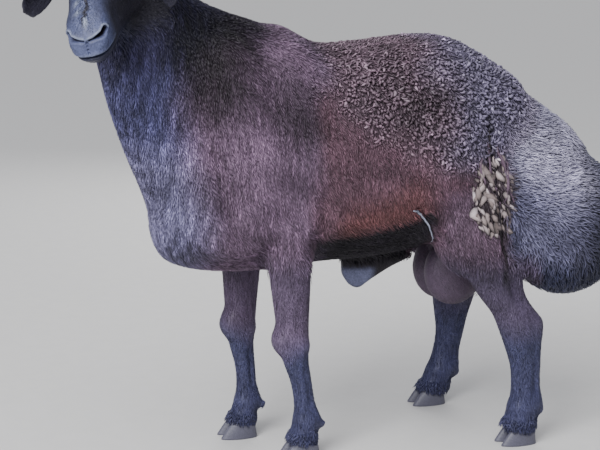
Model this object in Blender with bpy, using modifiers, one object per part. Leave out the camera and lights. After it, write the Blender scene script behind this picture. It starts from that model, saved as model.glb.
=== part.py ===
"""A standing fat-rumped Hissar ram, life size, as closed solids.

Metres, +Z up. The head points to -X, the left side to -Y, and the soles lie
on z = 0. The flesh is modelled whole from a few lofts and muscle masses,
covered with its coat, and then parted into named pieces by thin cuts.
"""

import math
import random

import bmesh
import bpy
import numpy as np
from mathutils import Matrix, Vector
from mathutils.bvhtree import BVHTree

# General sizes
GAP = 0.0003
BODY_VOXEL = 0.0075
BODY_SMOOTHING = 10
BODY_TRIANGLES = 3000
HEAD_VOXEL = 0.0036
HEAD_SMOOTHING = 36
HEAD_TRIANGLES = 1800
SPAN_STEPS = 4
RING_SIDES = 28
FAR = 2.0

# Torso stations: x, top, underside, half width
TORSO = [
    (-0.287, 0.530, 0.440, 0.045),
    (-0.262, 0.600, 0.404, 0.082),
    (-0.200, 0.730, 0.383, 0.120),
    (-0.110, 0.855, 0.374, 0.142),
    (-0.030, 0.870, 0.378, 0.155),
    (0.050, 0.838, 0.386, 0.170),
    (0.150, 0.842, 0.390, 0.187),
    (0.250, 0.852, 0.402, 0.192),
    (0.330, 0.847, 0.428, 0.184),
    (0.400, 0.812, 0.455, 0.172),
    (0.470, 0.750, 0.470, 0.150),
]
TORSO_WIDEST = 0.46
TORSO_POWER = 0.92

# Neck stations: front x, front z, back x, back z, half width, y, turn to the left
NECK = [
    (-0.285, 0.440, 0.030, 0.800, 0.125, 0.0, 0),
    (-0.300, 0.520, -0.055, 0.868, 0.118, 0.0, 0),
    (-0.335, 0.610, -0.140, 0.898, 0.102, 0.0, 0),
    (-0.366, 0.700, -0.205, 0.930, 0.088, 0.0, 2),
    (-0.388, 0.790, -0.250, 0.975, 0.078, -0.003, 10),
    (-0.402, 0.868, -0.284, 1.018, 0.071, -0.009, 24),
    (-0.410, 0.940, -0.325, 1.050, 0.064, -0.018, 40),
]
NECK_TOP_ROW = 3

# Muscle masses on each side: centre, radii, pitch in degrees about Y
SHOULDER_BLADE = ((-0.105, 0.078, 0.675), (0.088, 0.066, 0.205), -22)
UPPER_ARM = ((-0.110, 0.092, 0.495), (0.112, 0.052, 0.072), -28)
HIP = ((0.362, 0.085, 0.640), (0.122, 0.095, 0.148), 12)
THIGH = ((0.372, 0.112, 0.520), (0.115, 0.070, 0.170), 10)
FLANK_FOLD = ((0.262, 0.118, 0.520), (0.060, 0.050, 0.095), 28)
RUMP_TOP = ((0.500, 0.080, 0.580), (0.165, 0.102, 0.112), 40)
RUMP_LOBE = ((0.568, 0.106, 0.452), (0.142, 0.110, 0.152), 0)

# Leg stations: height, middle x, half length, middle y, half width
FORELEG = [
    (0.520, -0.068, 0.060, 0.092, 0.048),
    (0.430, -0.036, 0.050, 0.094, 0.041),
    (0.350, -0.029, 0.041, 0.092, 0.034),
    (0.285, -0.026, 0.036, 0.090, 0.030),
    (0.238, -0.027, 0.037, 0.089, 0.033),
    (0.200, -0.018, 0.028, 0.089, 0.026),
    (0.155, -0.006, 0.023, 0.089, 0.021),
    (0.112, 0.001, 0.023, 0.089, 0.021),
    (0.078, 0.007, 0.029, 0.089, 0.028),
    (0.052, 0.000, 0.031, 0.089, 0.030),
    (0.018, -0.011, 0.036, 0.089, 0.033),
]
HINDLEG = [
    (0.500, 0.362, 0.098, 0.116, 0.062),
    (0.430, 0.362, 0.082, 0.127, 0.055),
    (0.370, 0.390, 0.064, 0.136, 0.046),
    (0.320, 0.408, 0.051, 0.143, 0.039),
    (0.280, 0.436, 0.049, 0.147, 0.034),
    (0.248, 0.451, 0.050, 0.149, 0.035),
    (0.208, 0.457, 0.041, 0.150, 0.031),
    (0.165, 0.464, 0.034, 0.150, 0.026),
    (0.118, 0.466, 0.033, 0.150, 0.025),
    (0.085, 0.468, 0.038, 0.149, 0.031),
    (0.058, 0.460, 0.038, 0.148, 0.031),
    (0.020, 0.446, 0.042, 0.148, 0.034),
]
# How far each foot is set forward: slope per metre of height, and at the floor
LEAN = {
    "foreleg_left": (0.0, 0.0),
    "foreleg_right": (0.096, -0.086),
    "hindleg_left": (0.0, 0.0),
    "hindleg_right": (0.220, -0.070),
}
SIDE_SHIFT = {
    "foreleg_left": 0.0,
    "foreleg_right": -0.016,
    "hindleg_left": 0.0,
    "hindleg_right": 0.014,
}
DEWCLAW_BACK = 0.030
DEWCLAW_HEIGHT = 0.066
DEWCLAW_RADII = (0.009, 0.0075, 0.013)

# Hooves
CLAW_LENGTH = 0.080
CLAW_WIDTH = 0.0305
CLAW_SPLIT = 0.0022
CORONET_FRONT = 0.042
CORONET_BACK = 0.024
TOE_BEVEL = 0.027

# Head: its place, and its turn to the left, pitch down and tilt in degrees
POLL = Vector((-0.378, -0.017, 1.054))
HEAD_YAW = 64
HEAD_PITCH = 32
HEAD_TILT = 10
# Head stations: distance from the poll, top, underside, half width
HEAD = [
    (-0.045, -0.045, -0.120, 0.040),
    (-0.012, -0.012, -0.142, 0.054),
    (0.038, 0.006, -0.158, 0.060),
    (0.088, 0.015, -0.157, 0.058),
    (0.134, 0.017, -0.144, 0.051),
    (0.178, 0.012, -0.131, 0.045),
    (0.216, 0.001, -0.124, 0.042),
    (0.248, -0.012, -0.119, 0.040),
    (0.276, -0.025, -0.114, 0.036),
    (0.298, -0.043, -0.106, 0.028),
    (0.313, -0.062, -0.090, 0.015),
]
HEAD_POWER = 0.80
# Masses of the head on the middle line: centre, radii, pitch
NOSE_BRIDGE = ((0.165, 0.0, -0.020), (0.100, 0.029, 0.036), 12)
MUZZLE = ((0.262, 0.0, -0.060), (0.046, 0.041, 0.037), 22)
CHIN = ((0.270, 0.0, -0.096), (0.034, 0.025, 0.016), -6)
NAPE = ((-0.018, 0.0, -0.078), (0.058, 0.056, 0.068), 0)
# Masses of the head on each side
BROW = ((0.100, 0.043, -0.018), (0.044, 0.022, 0.026), 12)
CHEEK = ((0.070, 0.040, -0.096), (0.070, 0.026, 0.062), 6)
UPPER_LIP = ((0.288, 0.014, -0.066), (0.026, 0.022, 0.017), 14)
NOSTRIL_WING = ((0.258, 0.028, -0.046), (0.030, 0.014, 0.024), 24)
EAR_BUTT = ((0.004, 0.048, -0.042), (0.032, 0.022, 0.034), 0)

# Eyes, on the head
EYE_PLACE = (0.106, 0.0505, -0.022)
EYE_RADIUS = 0.0165
EYE_FACETS = (14, 8)
EYE_FACING = (0.42, 0.88, 0.20)
LID_THICKNESS = 0.0034
EYE_OPENING = (0.0135, 0.0078)
EYE_SLANT = 18

# Nostrils and mouth, on the head
NOSTRIL_INNER = (0.301, 0.0080, -0.049)
NOSTRIL_OUTER = (0.266, 0.0345, -0.042)
NOSTRIL_TAIL = (0.258, 0.0385, -0.054)
NOSTRIL_SLIT = 0.0032
NOSTRIL_CURL = 0.0042
NOSTRIL_DEPTH = 0.012
MOUTH_FRONT = 0.310
MOUTH_CORNER = (0.222, 0.041, -0.084)
MOUTH_HEIGHT = -0.0815
MOUTH_CUT = 0.0016
MOUTH_DEPTH = 0.010

# Ears
EAR_ROOT = (0.012, 0.060, -0.030)
EAR_OUT = 0.082
EAR_FORWARD = 0.060
EAR_DROP = 0.124
EAR_LIFT = 0.048
EAR_FLARE = 0.035
EAR_HALF_WIDTHS = [0.017, 0.028, 0.034, 0.036, 0.035, 0.032, 0.026, 0.012]
EAR_THICKNESS = 0.0055
EAR_CUP = (150, 55)
EAR_ROWS = 9
EAR_COLUMNS = 7

# Tail, scrotum and sheath
TAIL_ROOT = (0.640, 0.0, 0.598)
TAIL_TIP = (0.722, 0.0, 0.500)
TAIL_HALF_WIDTH = 0.020
SCROTUM_MASS = ((0.352, 0.031, 0.352), (0.068, 0.042, 0.076), 6)
SCROTUM_NECK = ((0.345, 0.0, 0.425), (0.042, 0.040, 0.050), 0)
# Sheath stations: x, top, underside, half width
SHEATH = [
    (0.112, 0.400, 0.368, 0.010),
    (0.128, 0.410, 0.330, 0.017),
    (0.148, 0.415, 0.316, 0.019),
    (0.172, 0.415, 0.338, 0.022),
    (0.215, 0.415, 0.358, 0.022),
    (0.268, 0.415, 0.380, 0.018),
]

# Coat: rounded clumps on the back and hip, above this edge in x and z
COAT_SEED = 11
COAT_DEPTH = 0.009
CURL_EDGE = [
    (-0.045, 0.790),
    (0.046, 0.650),
    (0.129, 0.590),
    (0.234, 0.556),
    (0.319, 0.596),
    (0.430, 0.610),
]
CURL_SPACING = 0.086
CURL_RADII = (0.052, 0.048, 0.016)
# Longer clumps on the two lobes of the rump, behind this edge and above z
WAVE_EDGE = [(0.370, 0.560), (0.480, 0.500), (0.560, 0.455)]
WAVE_LOWEST = 0.385
WAVE_SPACING = 0.092
WAVE_RADII = (0.066, 0.043, 0.015)
CLEFT_HALF_WIDTH = 0.048
CLUMP_SIDES = 6
CLUMP_RINGS = 4
CLUMP_TILT = 9
# Matted locks under the hip: root x and z, length and half width
LOCKS = [
    (0.322, 0.596, 0.130, 0.017),
    (0.350, 0.612, 0.150, 0.020),
    (0.378, 0.600, 0.165, 0.021),
    (0.404, 0.612, 0.150, 0.018),
    (0.336, 0.535, 0.105, 0.017),
    (0.364, 0.545, 0.125, 0.019),
    (0.392, 0.530, 0.115, 0.018),
]
LOCK_THICKNESS = 0.010
LOCK_ROWS = 5

# Where the thin cuts part the body: corners in x and z, and the inner side y
TORSO_FROM_NECK = [(-0.268, 0.300), (-0.268, 0.500), (-0.060, 0.905), (-0.060, FAR)]
FORELEG_BLOCK = [(-0.250, -0.1), (-0.175, 0.385), (-0.030, 0.470), (0.045, 0.425), (0.1, -0.1)]
HINDLEG_BLOCK = [
    (0.200, -0.1),
    (0.215, 0.500),
    (0.300, 0.545),
    (0.437, 0.470),
    (0.478, 0.290),
    (0.60, 0.275),
    (0.60, -0.1),
]
FORELEG_INNER = 0.046
HINDLEG_INNER = 0.070
RUMP_FRONT = [(0.418, FAR), (0.418, 0.800), (0.470, 0.100), (FAR, 0.100), (FAR, FAR)]
# The head's side of its cut from the neck, as corners on the head in x and z
HEAD_BLOCK = [
    (-0.10, 0.25),
    (-0.066, -0.035),
    (0.000, -0.155),
    (0.100, -0.172),
    (0.200, -0.158),
    (0.320, -0.145),
    (0.600, -0.110),
    (0.600, 0.25),
]

WORK = "work"
PART = "hissar_ram"


def start_clean():
    """Empties the scene and makes the two collections."""
    for obj in list(bpy.data.objects):
        bpy.data.objects.remove(obj)
    for name in (PART, WORK):
        bpy.context.scene.collection.children.link(bpy.data.collections.new(name))
    bpy.data.collections[WORK].hide_render = True


def add_mesh(name, bm, collection=WORK):
    """A new object from bmesh data, which is freed."""
    bmesh.ops.recalc_face_normals(bm, faces=bm.faces)
    mesh = bpy.data.meshes.new(name)
    bm.to_mesh(mesh)
    bm.free()
    obj = bpy.data.objects.new(name, mesh)
    bpy.data.collections[collection].objects.link(obj)
    return obj


def settle(obj):
    """Applies an object's modifiers to its mesh."""
    bpy.context.view_layer.update()
    graph = bpy.context.evaluated_depsgraph_get()
    mesh = bpy.data.meshes.new_from_object(obj.evaluated_get(graph))
    obj.modifiers.clear()
    obj.data = mesh
    return obj


def remove(objects):
    for obj in objects:
        bpy.data.objects.remove(obj)


def copy_of(obj, name):
    twin = bpy.data.objects.new(name, obj.data.copy())
    bpy.data.collections[WORK].objects.link(twin)
    return twin


def spline(rows, steps=SPAN_STEPS):
    """Rows on a Catmull-Rom curve through the given rows."""
    rows = np.array(rows, dtype=float)
    ends = np.vstack([2 * rows[0] - rows[1], rows, 2 * rows[-1] - rows[-2]])
    out = []
    for i in range(len(rows) - 1):
        a, b, c, d = ends[i : i + 4]
        for t in np.linspace(0, 1, steps, endpoint=False):
            out.append(
                0.5
                * (
                    2 * b
                    + (c - a) * t
                    + (2 * a - 5 * b + 4 * c - d) * t * t
                    + (3 * b - a - 3 * c + d) * t**3
                )
            )
    out.append(rows[-1])
    return out


def bezier(marks, t):
    """The point at share t of the curve that its marks pull."""
    while len(marks) > 1:
        marks = [a.lerp(b, t) for a, b in zip(marks, marks[1:])]
    return marks[0]


def bent(value, power):
    """A sine or cosine made squarer or rounder by a power."""
    return math.copysign(abs(value) ** power, value)


def loft(name, rings):
    """A closed skin over rings of points, capped at both ends."""
    bm = bmesh.new()
    rows = [[bm.verts.new(point) for point in ring] for ring in rings]
    for low, high in zip(rows, rows[1:]):
        for i in range(len(low)):
            j = (i + 1) % len(low)
            bm.faces.new((low[i], low[j], high[j], high[i]))
    bm.faces.new(rows[0])
    bm.faces.new(rows[-1])
    return add_mesh(name, bm)


def upright_ring(x, top, under, half, widest, power):
    """A ring across the body, in the plane of y and z."""
    middle = under + (top - under) * widest
    ring = []
    for i in range(RING_SIDES):
        angle = 2 * math.pi * i / RING_SIDES
        up, out = bent(math.sin(angle), power), bent(math.cos(angle), power)
        reach = top - middle if up > 0 else middle - under
        ring.append((x, out * half, middle + up * reach))
    return ring


def level_ring(z, x, half_long, y, half_wide):
    """A ring round a leg, in a level plane."""
    turns = [2 * math.pi * i / RING_SIDES for i in range(RING_SIDES)]
    return [(x + half_long * math.cos(t), y + half_wide * math.sin(t), z) for t in turns]


def mass(name, centre, radii, pitch=0):
    """An ellipsoid of flesh, pitched about the Y axis."""
    bm = bmesh.new()
    bmesh.ops.create_uvsphere(bm, u_segments=24, v_segments=14, radius=1.0)
    shape = Matrix.Translation(centre) @ Matrix.Rotation(math.radians(pitch), 4, "Y")
    bmesh.ops.transform(bm, matrix=shape @ Matrix.Diagonal((*radii, 1.0)), verts=bm.verts)
    return add_mesh(name, bm)


def pair(name, sizes):
    """The same mass on the left and the right."""
    (x, y, z), radii, pitch = sizes
    return [mass(f"{name}_{side}", (x, side * y, z), radii, pitch) for side in (-1, 1)]


def melt(name, pieces, voxel, smoothing, triangles, thin=None):
    """Fuses pieces into one smooth closed surface of about so many triangles."""
    bm = bmesh.new()
    for piece in pieces:
        bm.from_mesh(piece.data)
    remove(pieces)
    body = add_mesh(name, bm)
    remesh = body.modifiers.new("fuse", "REMESH")
    remesh.mode = "VOXEL"
    remesh.voxel_size = voxel
    settle(body)
    smooth = body.modifiers.new("smooth", "SMOOTH")
    smooth.factor = 0.5
    smooth.iterations = smoothing
    if thin:
        group = body.vertex_groups.new(name="smoothed")
        for vertex in body.data.vertices:
            group.add([vertex.index], thin(vertex.co), "REPLACE")
        smooth.vertex_group = group.name
    settle(body)
    dense = copy_of(body, name + "_dense")
    collapse = body.modifiers.new("thin out", "DECIMATE")
    collapse.ratio = min(1.0, triangles / (2 * len(body.data.polygons)))
    collapse.use_collapse_triangulate = True
    settle(body)
    return body, dense


def cut(body, tools, operation="DIFFERENCE"):
    """One Boolean with a list of closed tools, which are then removed."""
    group = bpy.data.collections.new("tools")
    for tool in tools:
        group.objects.link(tool)
    bpy.context.scene.collection.children.link(group)
    group.hide_render = True
    boolean = body.modifiers.new("cut", "BOOLEAN")
    boolean.operation = operation
    boolean.solver = "MANIFOLD"
    boolean.operand_type = "COLLECTION"
    boolean.collection = group
    settle(body)
    remove(tools)
    bpy.data.collections.remove(group)
    return body


def islands(bm):
    """The connected surfaces of a mesh, as lists of faces."""
    left, out = set(bm.faces), []
    while left:
        todo = [left.pop()]
        found = list(todo)
        while todo:
            for edge in todo.pop().edges:
                for face in edge.link_faces:
                    if face in left:
                        left.discard(face)
                        todo.append(face)
                        found.append(face)
        out.append(found)
    return out


def keep_largest(obj):
    """Drops all but the largest connected surface."""
    bm = bmesh.new()
    bm.from_mesh(obj.data)
    parts = sorted(islands(bm), key=lambda faces: sum(f.calc_area() for f in faces))
    scraps = [face for faces in parts[:-1] for face in faces]
    bmesh.ops.delete(bm, geom=scraps, context="FACES")
    bm.to_mesh(obj.data)
    bm.free()
    return obj


def prism(corners, y_low, y_high, grow):
    """A block with the given outline in x and z, its faces moved out by grow."""
    points = [Vector(corner) for corner in corners]
    area = sum(a.x * b.y - b.x * a.y for a, b in zip(points, points[1:] + points[:1]))
    if area < 0:
        points.reverse()
    moved = []
    for i, here in enumerate(points):
        before = (here - points[i - 1]).normalized()
        after = (points[(i + 1) % len(points)] - here).normalized()
        out_before, out_after = Vector((before.y, -before.x)), Vector((after.y, -after.x))
        corner = out_before + out_after
        moved.append(here + corner * (grow / (1 + out_before.dot(out_after))))
    rings = [[(p.x, y, p.y) for p in moved] for y in (y_low - grow, y_high + grow)]
    return loft("block", rings)


def part_off(body, corners, y_low, y_high, name):
    """Parts what lies inside a block from the body, with a thin gap between."""
    piece = copy_of(body, name)
    cut(piece, [prism(corners, y_low, y_high, -GAP / 2)], "INTERSECT")
    cut(body, [prism(corners, y_low, y_high, GAP / 2)])
    return keep_largest(piece)


def seat(piece, bodies):
    """Cuts a piece so that it meets the bodies' surface face to face."""
    grown = []
    for body in bodies:
        tool = copy_of(body, "grown")
        swell = tool.modifiers.new("swell", "DISPLACE")
        swell.strength = GAP
        swell.mid_level = 0
        grown.append(settle(tool))
    cut(piece, grown)
    return keep_largest(piece)


def torso_pieces():
    rings = [
        upright_ring(x, top, under, half, TORSO_WIDEST, TORSO_POWER)
        for x, top, under, half in spline(TORSO)
    ]
    pieces = [loft("barrel", rings)]
    masses = {
        "blade": SHOULDER_BLADE,
        "upper_arm": UPPER_ARM,
        "hip": HIP,
        "thigh": THIGH,
        "flank": FLANK_FOLD,
        "rump_top": RUMP_TOP,
        "rump_lobe": RUMP_LOBE,
    }
    for name, sizes in masses.items():
        pieces += pair(name, sizes)
    return pieces


def neck_piece(first_row=0):
    rings = []
    for front_x, front_z, back_x, back_z, half, y, turn in spline(NECK[first_row:]):
        front, back = Vector((front_x, y, front_z)), Vector((back_x, y, back_z))
        twist = Matrix.Rotation(math.radians(turn), 3, "Z")
        centre, along = (front + back) / 2, twist @ (front - back) / 2
        across = twist @ Vector((0, half, 0))
        turns = [2 * math.pi * i / RING_SIDES for i in range(RING_SIDES)]
        rings.append([centre + along * math.cos(t) + across * math.sin(t) for t in turns])
    return loft("neck_form", rings)


def leg_side(name):
    return -1 if name.endswith("left") else 1


def leg_shift(name, height):
    slope, at_floor = LEAN[name]
    return at_floor + slope * height


def leg_pieces(name):
    rows = FORELEG if name.startswith("fore") else HINDLEG
    side, spread = leg_side(name), SIDE_SHIFT[name]
    rings = []
    for z, x, half_long, y, half_wide in spline(rows):
        y += spread * (1 - z / rows[0][0])
        rings.append(level_ring(z, x + leg_shift(name, z), half_long, side * y, half_wide))
    pieces = [loft(name + "_form", rings)]
    fetlock = rows[-3]
    for across in (-1, 1):
        centre = (
            fetlock[1] + leg_shift(name, fetlock[0]) + DEWCLAW_BACK,
            side * (fetlock[3] + spread) + across * 0.014,
            DEWCLAW_HEIGHT,
        )
        pieces.append(mass("dewclaw", centre, DEWCLAW_RADII, 20))
    return pieces


def foot_centre(name):
    rows = FORELEG if name.startswith("fore") else HINDLEG
    foot = rows[-1]
    return Vector((foot[1] + leg_shift(name, 0), leg_side(name) * (foot[3] + SIDE_SHIFT[name]), 0))


def coronet_block(name, grow):
    """All that lies under the slanting line where a hoof starts."""
    centre = foot_centre(name)
    front, back = centre.x - CLAW_LENGTH / 2, centre.x + CLAW_LENGTH / 2
    slope = (CORONET_BACK - CORONET_FRONT) / CLAW_LENGTH
    corners = [
        (front - 0.1, CORONET_FRONT - 0.1 * slope),
        (back + 0.1, CORONET_BACK + 0.1 * slope),
        (back + 0.1, -0.2),
        (front - 0.1, -0.2),
    ]
    return prism(corners, centre.y - 0.08, centre.y + 0.08, grow)


def claw(name, across):
    """One horn claw of a hoof: flat sole, sloping toe, rounded outer wall."""
    centre = foot_centre(name)
    middle_y = centre.y + across * (CLAW_WIDTH + CLAW_SPLIT) / 2
    front, back = centre.x - CLAW_LENGTH / 2, centre.x + CLAW_LENGTH / 2
    rings = []
    for step in range(4):
        level = step / 3
        toe = front + TOE_BEVEL * level
        heel = back - 0.004 * level
        ring = []
        for i in range(12):
            angle = 2 * math.pi * i / 12
            along, out = -math.cos(angle), math.sin(angle)
            x = (toe + heel) / 2 + along * (heel - toe) / 2
            wide = CLAW_WIDTH / 2 * (1.0 - 0.08 * level)
            if out * across < 0:
                wide = CLAW_WIDTH / 2 * (0.94 - 0.04 * level)
            taper = 1.0 - 0.35 * max(0.0, -along) ** 2
            share = (x - front) / CLAW_LENGTH
            top = CORONET_FRONT + (CORONET_BACK - CORONET_FRONT) * share - GAP
            ring.append((x, middle_y + bent(out, 0.75) * wide * taper, top * level))
        rings.append(ring)
    return loft(f"hoof_{name}_{'outer' if across == leg_side(name) else 'inner'}", rings)


def head_matrix():
    """From the head's own axes (nose, left, crown) to the part's axes."""
    yaw, pitch, tilt = (math.radians(a) for a in (HEAD_YAW, HEAD_PITCH, HEAD_TILT))
    ahead = Vector((-math.cos(yaw), -math.sin(yaw), 0))
    up = Vector((0, 0, 1))
    left = up.cross(ahead)
    nose = ahead * math.cos(pitch) - up * math.sin(pitch)
    crown = nose.cross(left)
    roll = Matrix.Rotation(tilt, 3, ahead)
    axes = Matrix([roll @ nose, roll @ left, roll @ crown]).transposed()
    return Matrix.Translation(POLL) @ axes.to_4x4()


def head_pieces():
    """The masses of the head, in its own axes."""
    rings = [
        upright_ring(x, top, under, half, 0.55, HEAD_POWER)
        for x, top, under, half in spline(HEAD)
    ]
    pieces = [loft("skull", rings)]
    for name, sizes in {"bridge": NOSE_BRIDGE, "muzzle": MUZZLE, "chin": CHIN, "nape": NAPE}.items():
        pieces.append(mass(name, *sizes))
    sides = {
        "brow": BROW,
        "cheek": CHEEK,
        "lip": UPPER_LIP,
        "wing": NOSTRIL_WING,
        "butt": EAR_BUTT,
    }
    for name, sizes in sides.items():
        pieces += pair(name, sizes)
    for piece in pieces:
        piece.data.transform(head_matrix())
    return pieces


def eye_frame(side):
    """Axes of an eye: along its opening, across it and out of the head."""
    x, y, z = EYE_PLACE
    out = Vector((EYE_FACING[0], side * EYE_FACING[1], EYE_FACING[2])).normalized()
    slant = math.radians(EYE_SLANT)
    along = Vector((math.cos(slant), 0, -math.sin(slant)))
    along = (along - out * along.dot(out)).normalized()
    axes = Matrix([along, out.cross(along), out]).transposed()
    return head_matrix() @ Matrix.Translation((x, side * y, z)) @ axes.to_4x4()


def ball(name, radii, place, segments=20, rings=12):
    bm = bmesh.new()
    bmesh.ops.create_uvsphere(bm, u_segments=segments, v_segments=rings, radius=1.0)
    bmesh.ops.transform(bm, matrix=place @ Matrix.Diagonal((*radii, 1.0)), verts=bm.verts)
    return add_mesh(name, bm)


def build_eyes(head):
    """Opens two sockets with lids and puts an eyeball in each."""
    eyes = []
    for side, name in ((1, "eye_left"), (-1, "eye_right")):
        place = eye_frame(side)
        lid = EYE_RADIUS + LID_THICKNESS
        cut(head, [ball("lids", (lid, lid, lid), place, *EYE_FACETS)], "UNION")
        room = EYE_RADIUS + GAP
        long_half, high_half = EYE_OPENING
        slot = place @ Matrix.Translation((0, 0, EYE_RADIUS))
        tools = [
            ball("socket", (room, room, room), place, *EYE_FACETS),
            ball("opening", (long_half, high_half, EYE_RADIUS), slot, 12, 6),
        ]
        cut(head, tools)
        eyes.append(ball(name, (EYE_RADIUS,) * 3, place, *EYE_FACETS))
    return eyes


def blade(name, path, widths, depth_axis):
    """A thin cutting ribbon along a path, as deep as each width says."""
    bm = bmesh.new()
    rows = []
    for (point, out), (thin, deep) in zip(path, widths):
        up, rim = depth_axis * thin, point + out * 0.02
        rows.append([bm.verts.new(p) for p in (rim + up, rim - up, point - out * deep)])
    for a, b in zip(rows, rows[1:]):
        for i in range(3):
            j = (i + 1) % 3
            bm.faces.new((a[i], a[j], b[j], b[i]))
    bm.faces.new(rows[0])
    bm.faces.new(rows[-1])
    obj = add_mesh(name, bm)
    obj.data.transform(head_matrix())
    return obj


def mouth_cutter():
    """The line of the mouth, round the muzzle from corner to corner."""
    corner_x, corner_y, corner_z = MOUTH_CORNER
    path, widths = [], []
    steps = 12
    for i in range(steps):
        t = math.pi * (i / (steps - 1) - 0.5)
        across, ahead = math.sin(t), math.cos(t)
        point = Vector((
            corner_x + (MOUTH_FRONT - corner_x) * bent(ahead, 0.8),
            corner_y * across,
            corner_z + (MOUTH_HEIGHT - corner_z) * ahead**0.7 if ahead > 0 else corner_z,
        ))
        out = Vector((0.4 + 0.6 * ahead, across, 0)).normalized()
        path.append((point, out))
        fade = 0.45 + 0.55 * ahead
        widths.append((MOUTH_CUT * fade, MOUTH_DEPTH * fade))
    return blade("mouth", path, widths, Vector((0, 0, 1)))


def nostril_cutters(side):
    """A slit that runs up and out from beside the philtrum and curls back."""
    marks = [Vector((x, side * y, z)) for x, y, z in (NOSTRIL_INNER, NOSTRIL_OUTER, NOSTRIL_TAIL)]
    inward = Vector((-0.88, -0.45 * side, -0.15)).normalized()
    tools = []
    for start, end, high, deep in (
        (marks[0], marks[1], NOSTRIL_SLIT, NOSTRIL_DEPTH),
        (marks[1], marks[2], NOSTRIL_CURL, NOSTRIL_DEPTH * 0.8),
    ):
        along = (end - start).normalized()
        into = (inward - along * inward.dot(along)).normalized()
        axes = Matrix([along, into.cross(along), into]).transposed().to_4x4()
        place = head_matrix() @ Matrix.Translation((start + end) / 2) @ axes
        long_half = (end - start).length / 2 + high
        tools.append(ball("nostril", (long_half, high, deep), place, 10, 6))
    return tools


def build_ear(name, side, head):
    """A long drooping ear: a leaf of cupped skin, seated on the head."""
    frame = head_matrix()
    x, y, z = EAR_ROOT
    root = frame @ Vector((x, side * y, z))
    turn = frame.to_3x3()
    outward = turn @ Vector((0, side, 0))
    outward = Vector((outward.x, outward.y, 0)).normalized()
    forward = turn @ Vector((1, 0, 0))
    forward = Vector((forward.x, forward.y, 0)).normalized()
    tip = root + outward * EAR_OUT + forward * EAR_FORWARD - Vector((0, 0, EAR_DROP))
    facing = outward * 0.8 - forward * 0.6
    marks = [
        root - outward * 0.012,
        root + outward * EAR_LIFT,
        tip - outward * EAR_FLARE + Vector((0, 0, EAR_DROP / 3)),
        tip,
    ]
    bm = bmesh.new()
    rows = []
    for i in range(EAR_ROWS):
        t = i / (EAR_ROWS - 1)
        point = bezier(marks, t)
        along = bezier([b - a for a, b in zip(marks, marks[1:])], t).normalized()
        back = (facing - along * facing.dot(along)).normalized()
        across = along.cross(back)
        half = np.interp(t, np.linspace(0, 1, len(EAR_HALF_WIDTHS)), EAR_HALF_WIDTHS)
        arc = math.radians(EAR_CUP[0] * (1 - t) ** 1.5 + EAR_CUP[1] * (1 - (1 - t) ** 1.5))
        radius = half / math.sin(min(arc, math.pi) / 2)
        row = []
        for j in range(EAR_COLUMNS):
            angle = arc * (j / (EAR_COLUMNS - 1) - 0.5)
            offset = across * math.sin(angle) + back * (math.cos(angle) - math.cos(arc / 2))
            row.append(bm.verts.new(point + offset * radius))
        rows.append(row)
    for a, b in zip(rows, rows[1:]):
        for j in range(EAR_COLUMNS - 1):
            bm.faces.new((a[j], a[j + 1], b[j + 1], b[j]))
    ear = add_mesh(name, bm)
    shell = ear.modifiers.new("thickness", "SOLIDIFY")
    shell.thickness = EAR_THICKNESS
    shell.offset = 0
    settle(ear)
    return seat(ear, [head])


def clear_of_cleft(place):
    return abs(place.y) > CLEFT_HALF_WIDTH or place.x < TAIL_ROOT[0] - 0.09


def curl_region(place, normal):
    """The back, the loin and the hip, down to the edge of the curls."""
    edge_x, edge_z = zip(*CURL_EDGE)
    inside = edge_x[0] < place.x < WAVE_EDGE[-1][1] and normal.z > -0.5
    return inside and place.z > np.interp(place.x, edge_x, edge_z)


def wave_region(place, normal):
    """The outer sides and the backs of the two lobes."""
    edge_z, edge_x = zip(*WAVE_EDGE)
    inside = place.z > WAVE_LOWEST and place.x >= np.interp(place.z, edge_z, edge_x)
    return inside and normal.z > -0.55 and clear_of_cleft(place)


def make_room(body):
    """Lowers the flesh under the clumps, so that they reach the coat's outline."""
    lowered = []
    for vertex in body.data.vertices:
        place, normal = vertex.co.copy(), vertex.normal.copy()
        if curl_region(place, normal) or wave_region(place, normal):
            place -= normal * COAT_DEPTH
        lowered.append(place)
    for vertex, place in zip(body.data.vertices, lowered):
        vertex.co = place


def spread(skin, region, spacing, rng):
    """Evenly spread spots of the skin inside a region, with their normals."""
    spots = [(v.co.copy(), v.normal.copy()) for v in skin.data.vertices if region(v.co, v.normal)]
    order = [place.x + 0.5 * abs(place.y) + rng.uniform(0, 0.25) * spacing for place, _ in spots]
    taken = []
    for _, (place, normal) in sorted(zip(order, spots), key=lambda pick: pick[0]):
        if all((place - other).length > spacing for other, _ in taken):
            taken.append((place, normal))
    return taken


def lie_at(place, normal):
    """The way the hair lies: back and down, more downwards on the sides."""
    lie = Vector((0.75 - 0.45 * abs(normal.y), 0.0, -0.25 - 0.75 * abs(normal.y)))
    return (lie - normal * lie.dot(normal)).normalized()


def clump(place, normal, radii, rng):
    """A rounded clump of hair, its free end raised a little."""
    turn = Matrix.Rotation(rng.uniform(-0.5, 0.5), 3, normal)
    along = turn @ lie_at(place, normal)
    side = normal.cross(along)
    tilt = Matrix.Rotation(math.radians(-rng.uniform(0.4, 1.2) * CLUMP_TILT), 3, side)
    along, up = tilt @ along, tilt @ normal
    size = rng.uniform(0.86, 1.14)
    axes = Matrix([side, up, along]).transposed().to_4x4()
    centre = Matrix.Translation(place + normal * (radii[2] * rng.uniform(-0.20, 0.05)))
    spin = Matrix.Rotation(rng.uniform(0, math.pi), 4, "Z")
    scale = Matrix.Diagonal((radii[1] * size, radii[2] * size, radii[0] * size, 1.0))
    return ball("clump", (1, 1, 1), centre @ axes @ scale @ spin, CLUMP_SIDES, CLUMP_RINGS)


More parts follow.
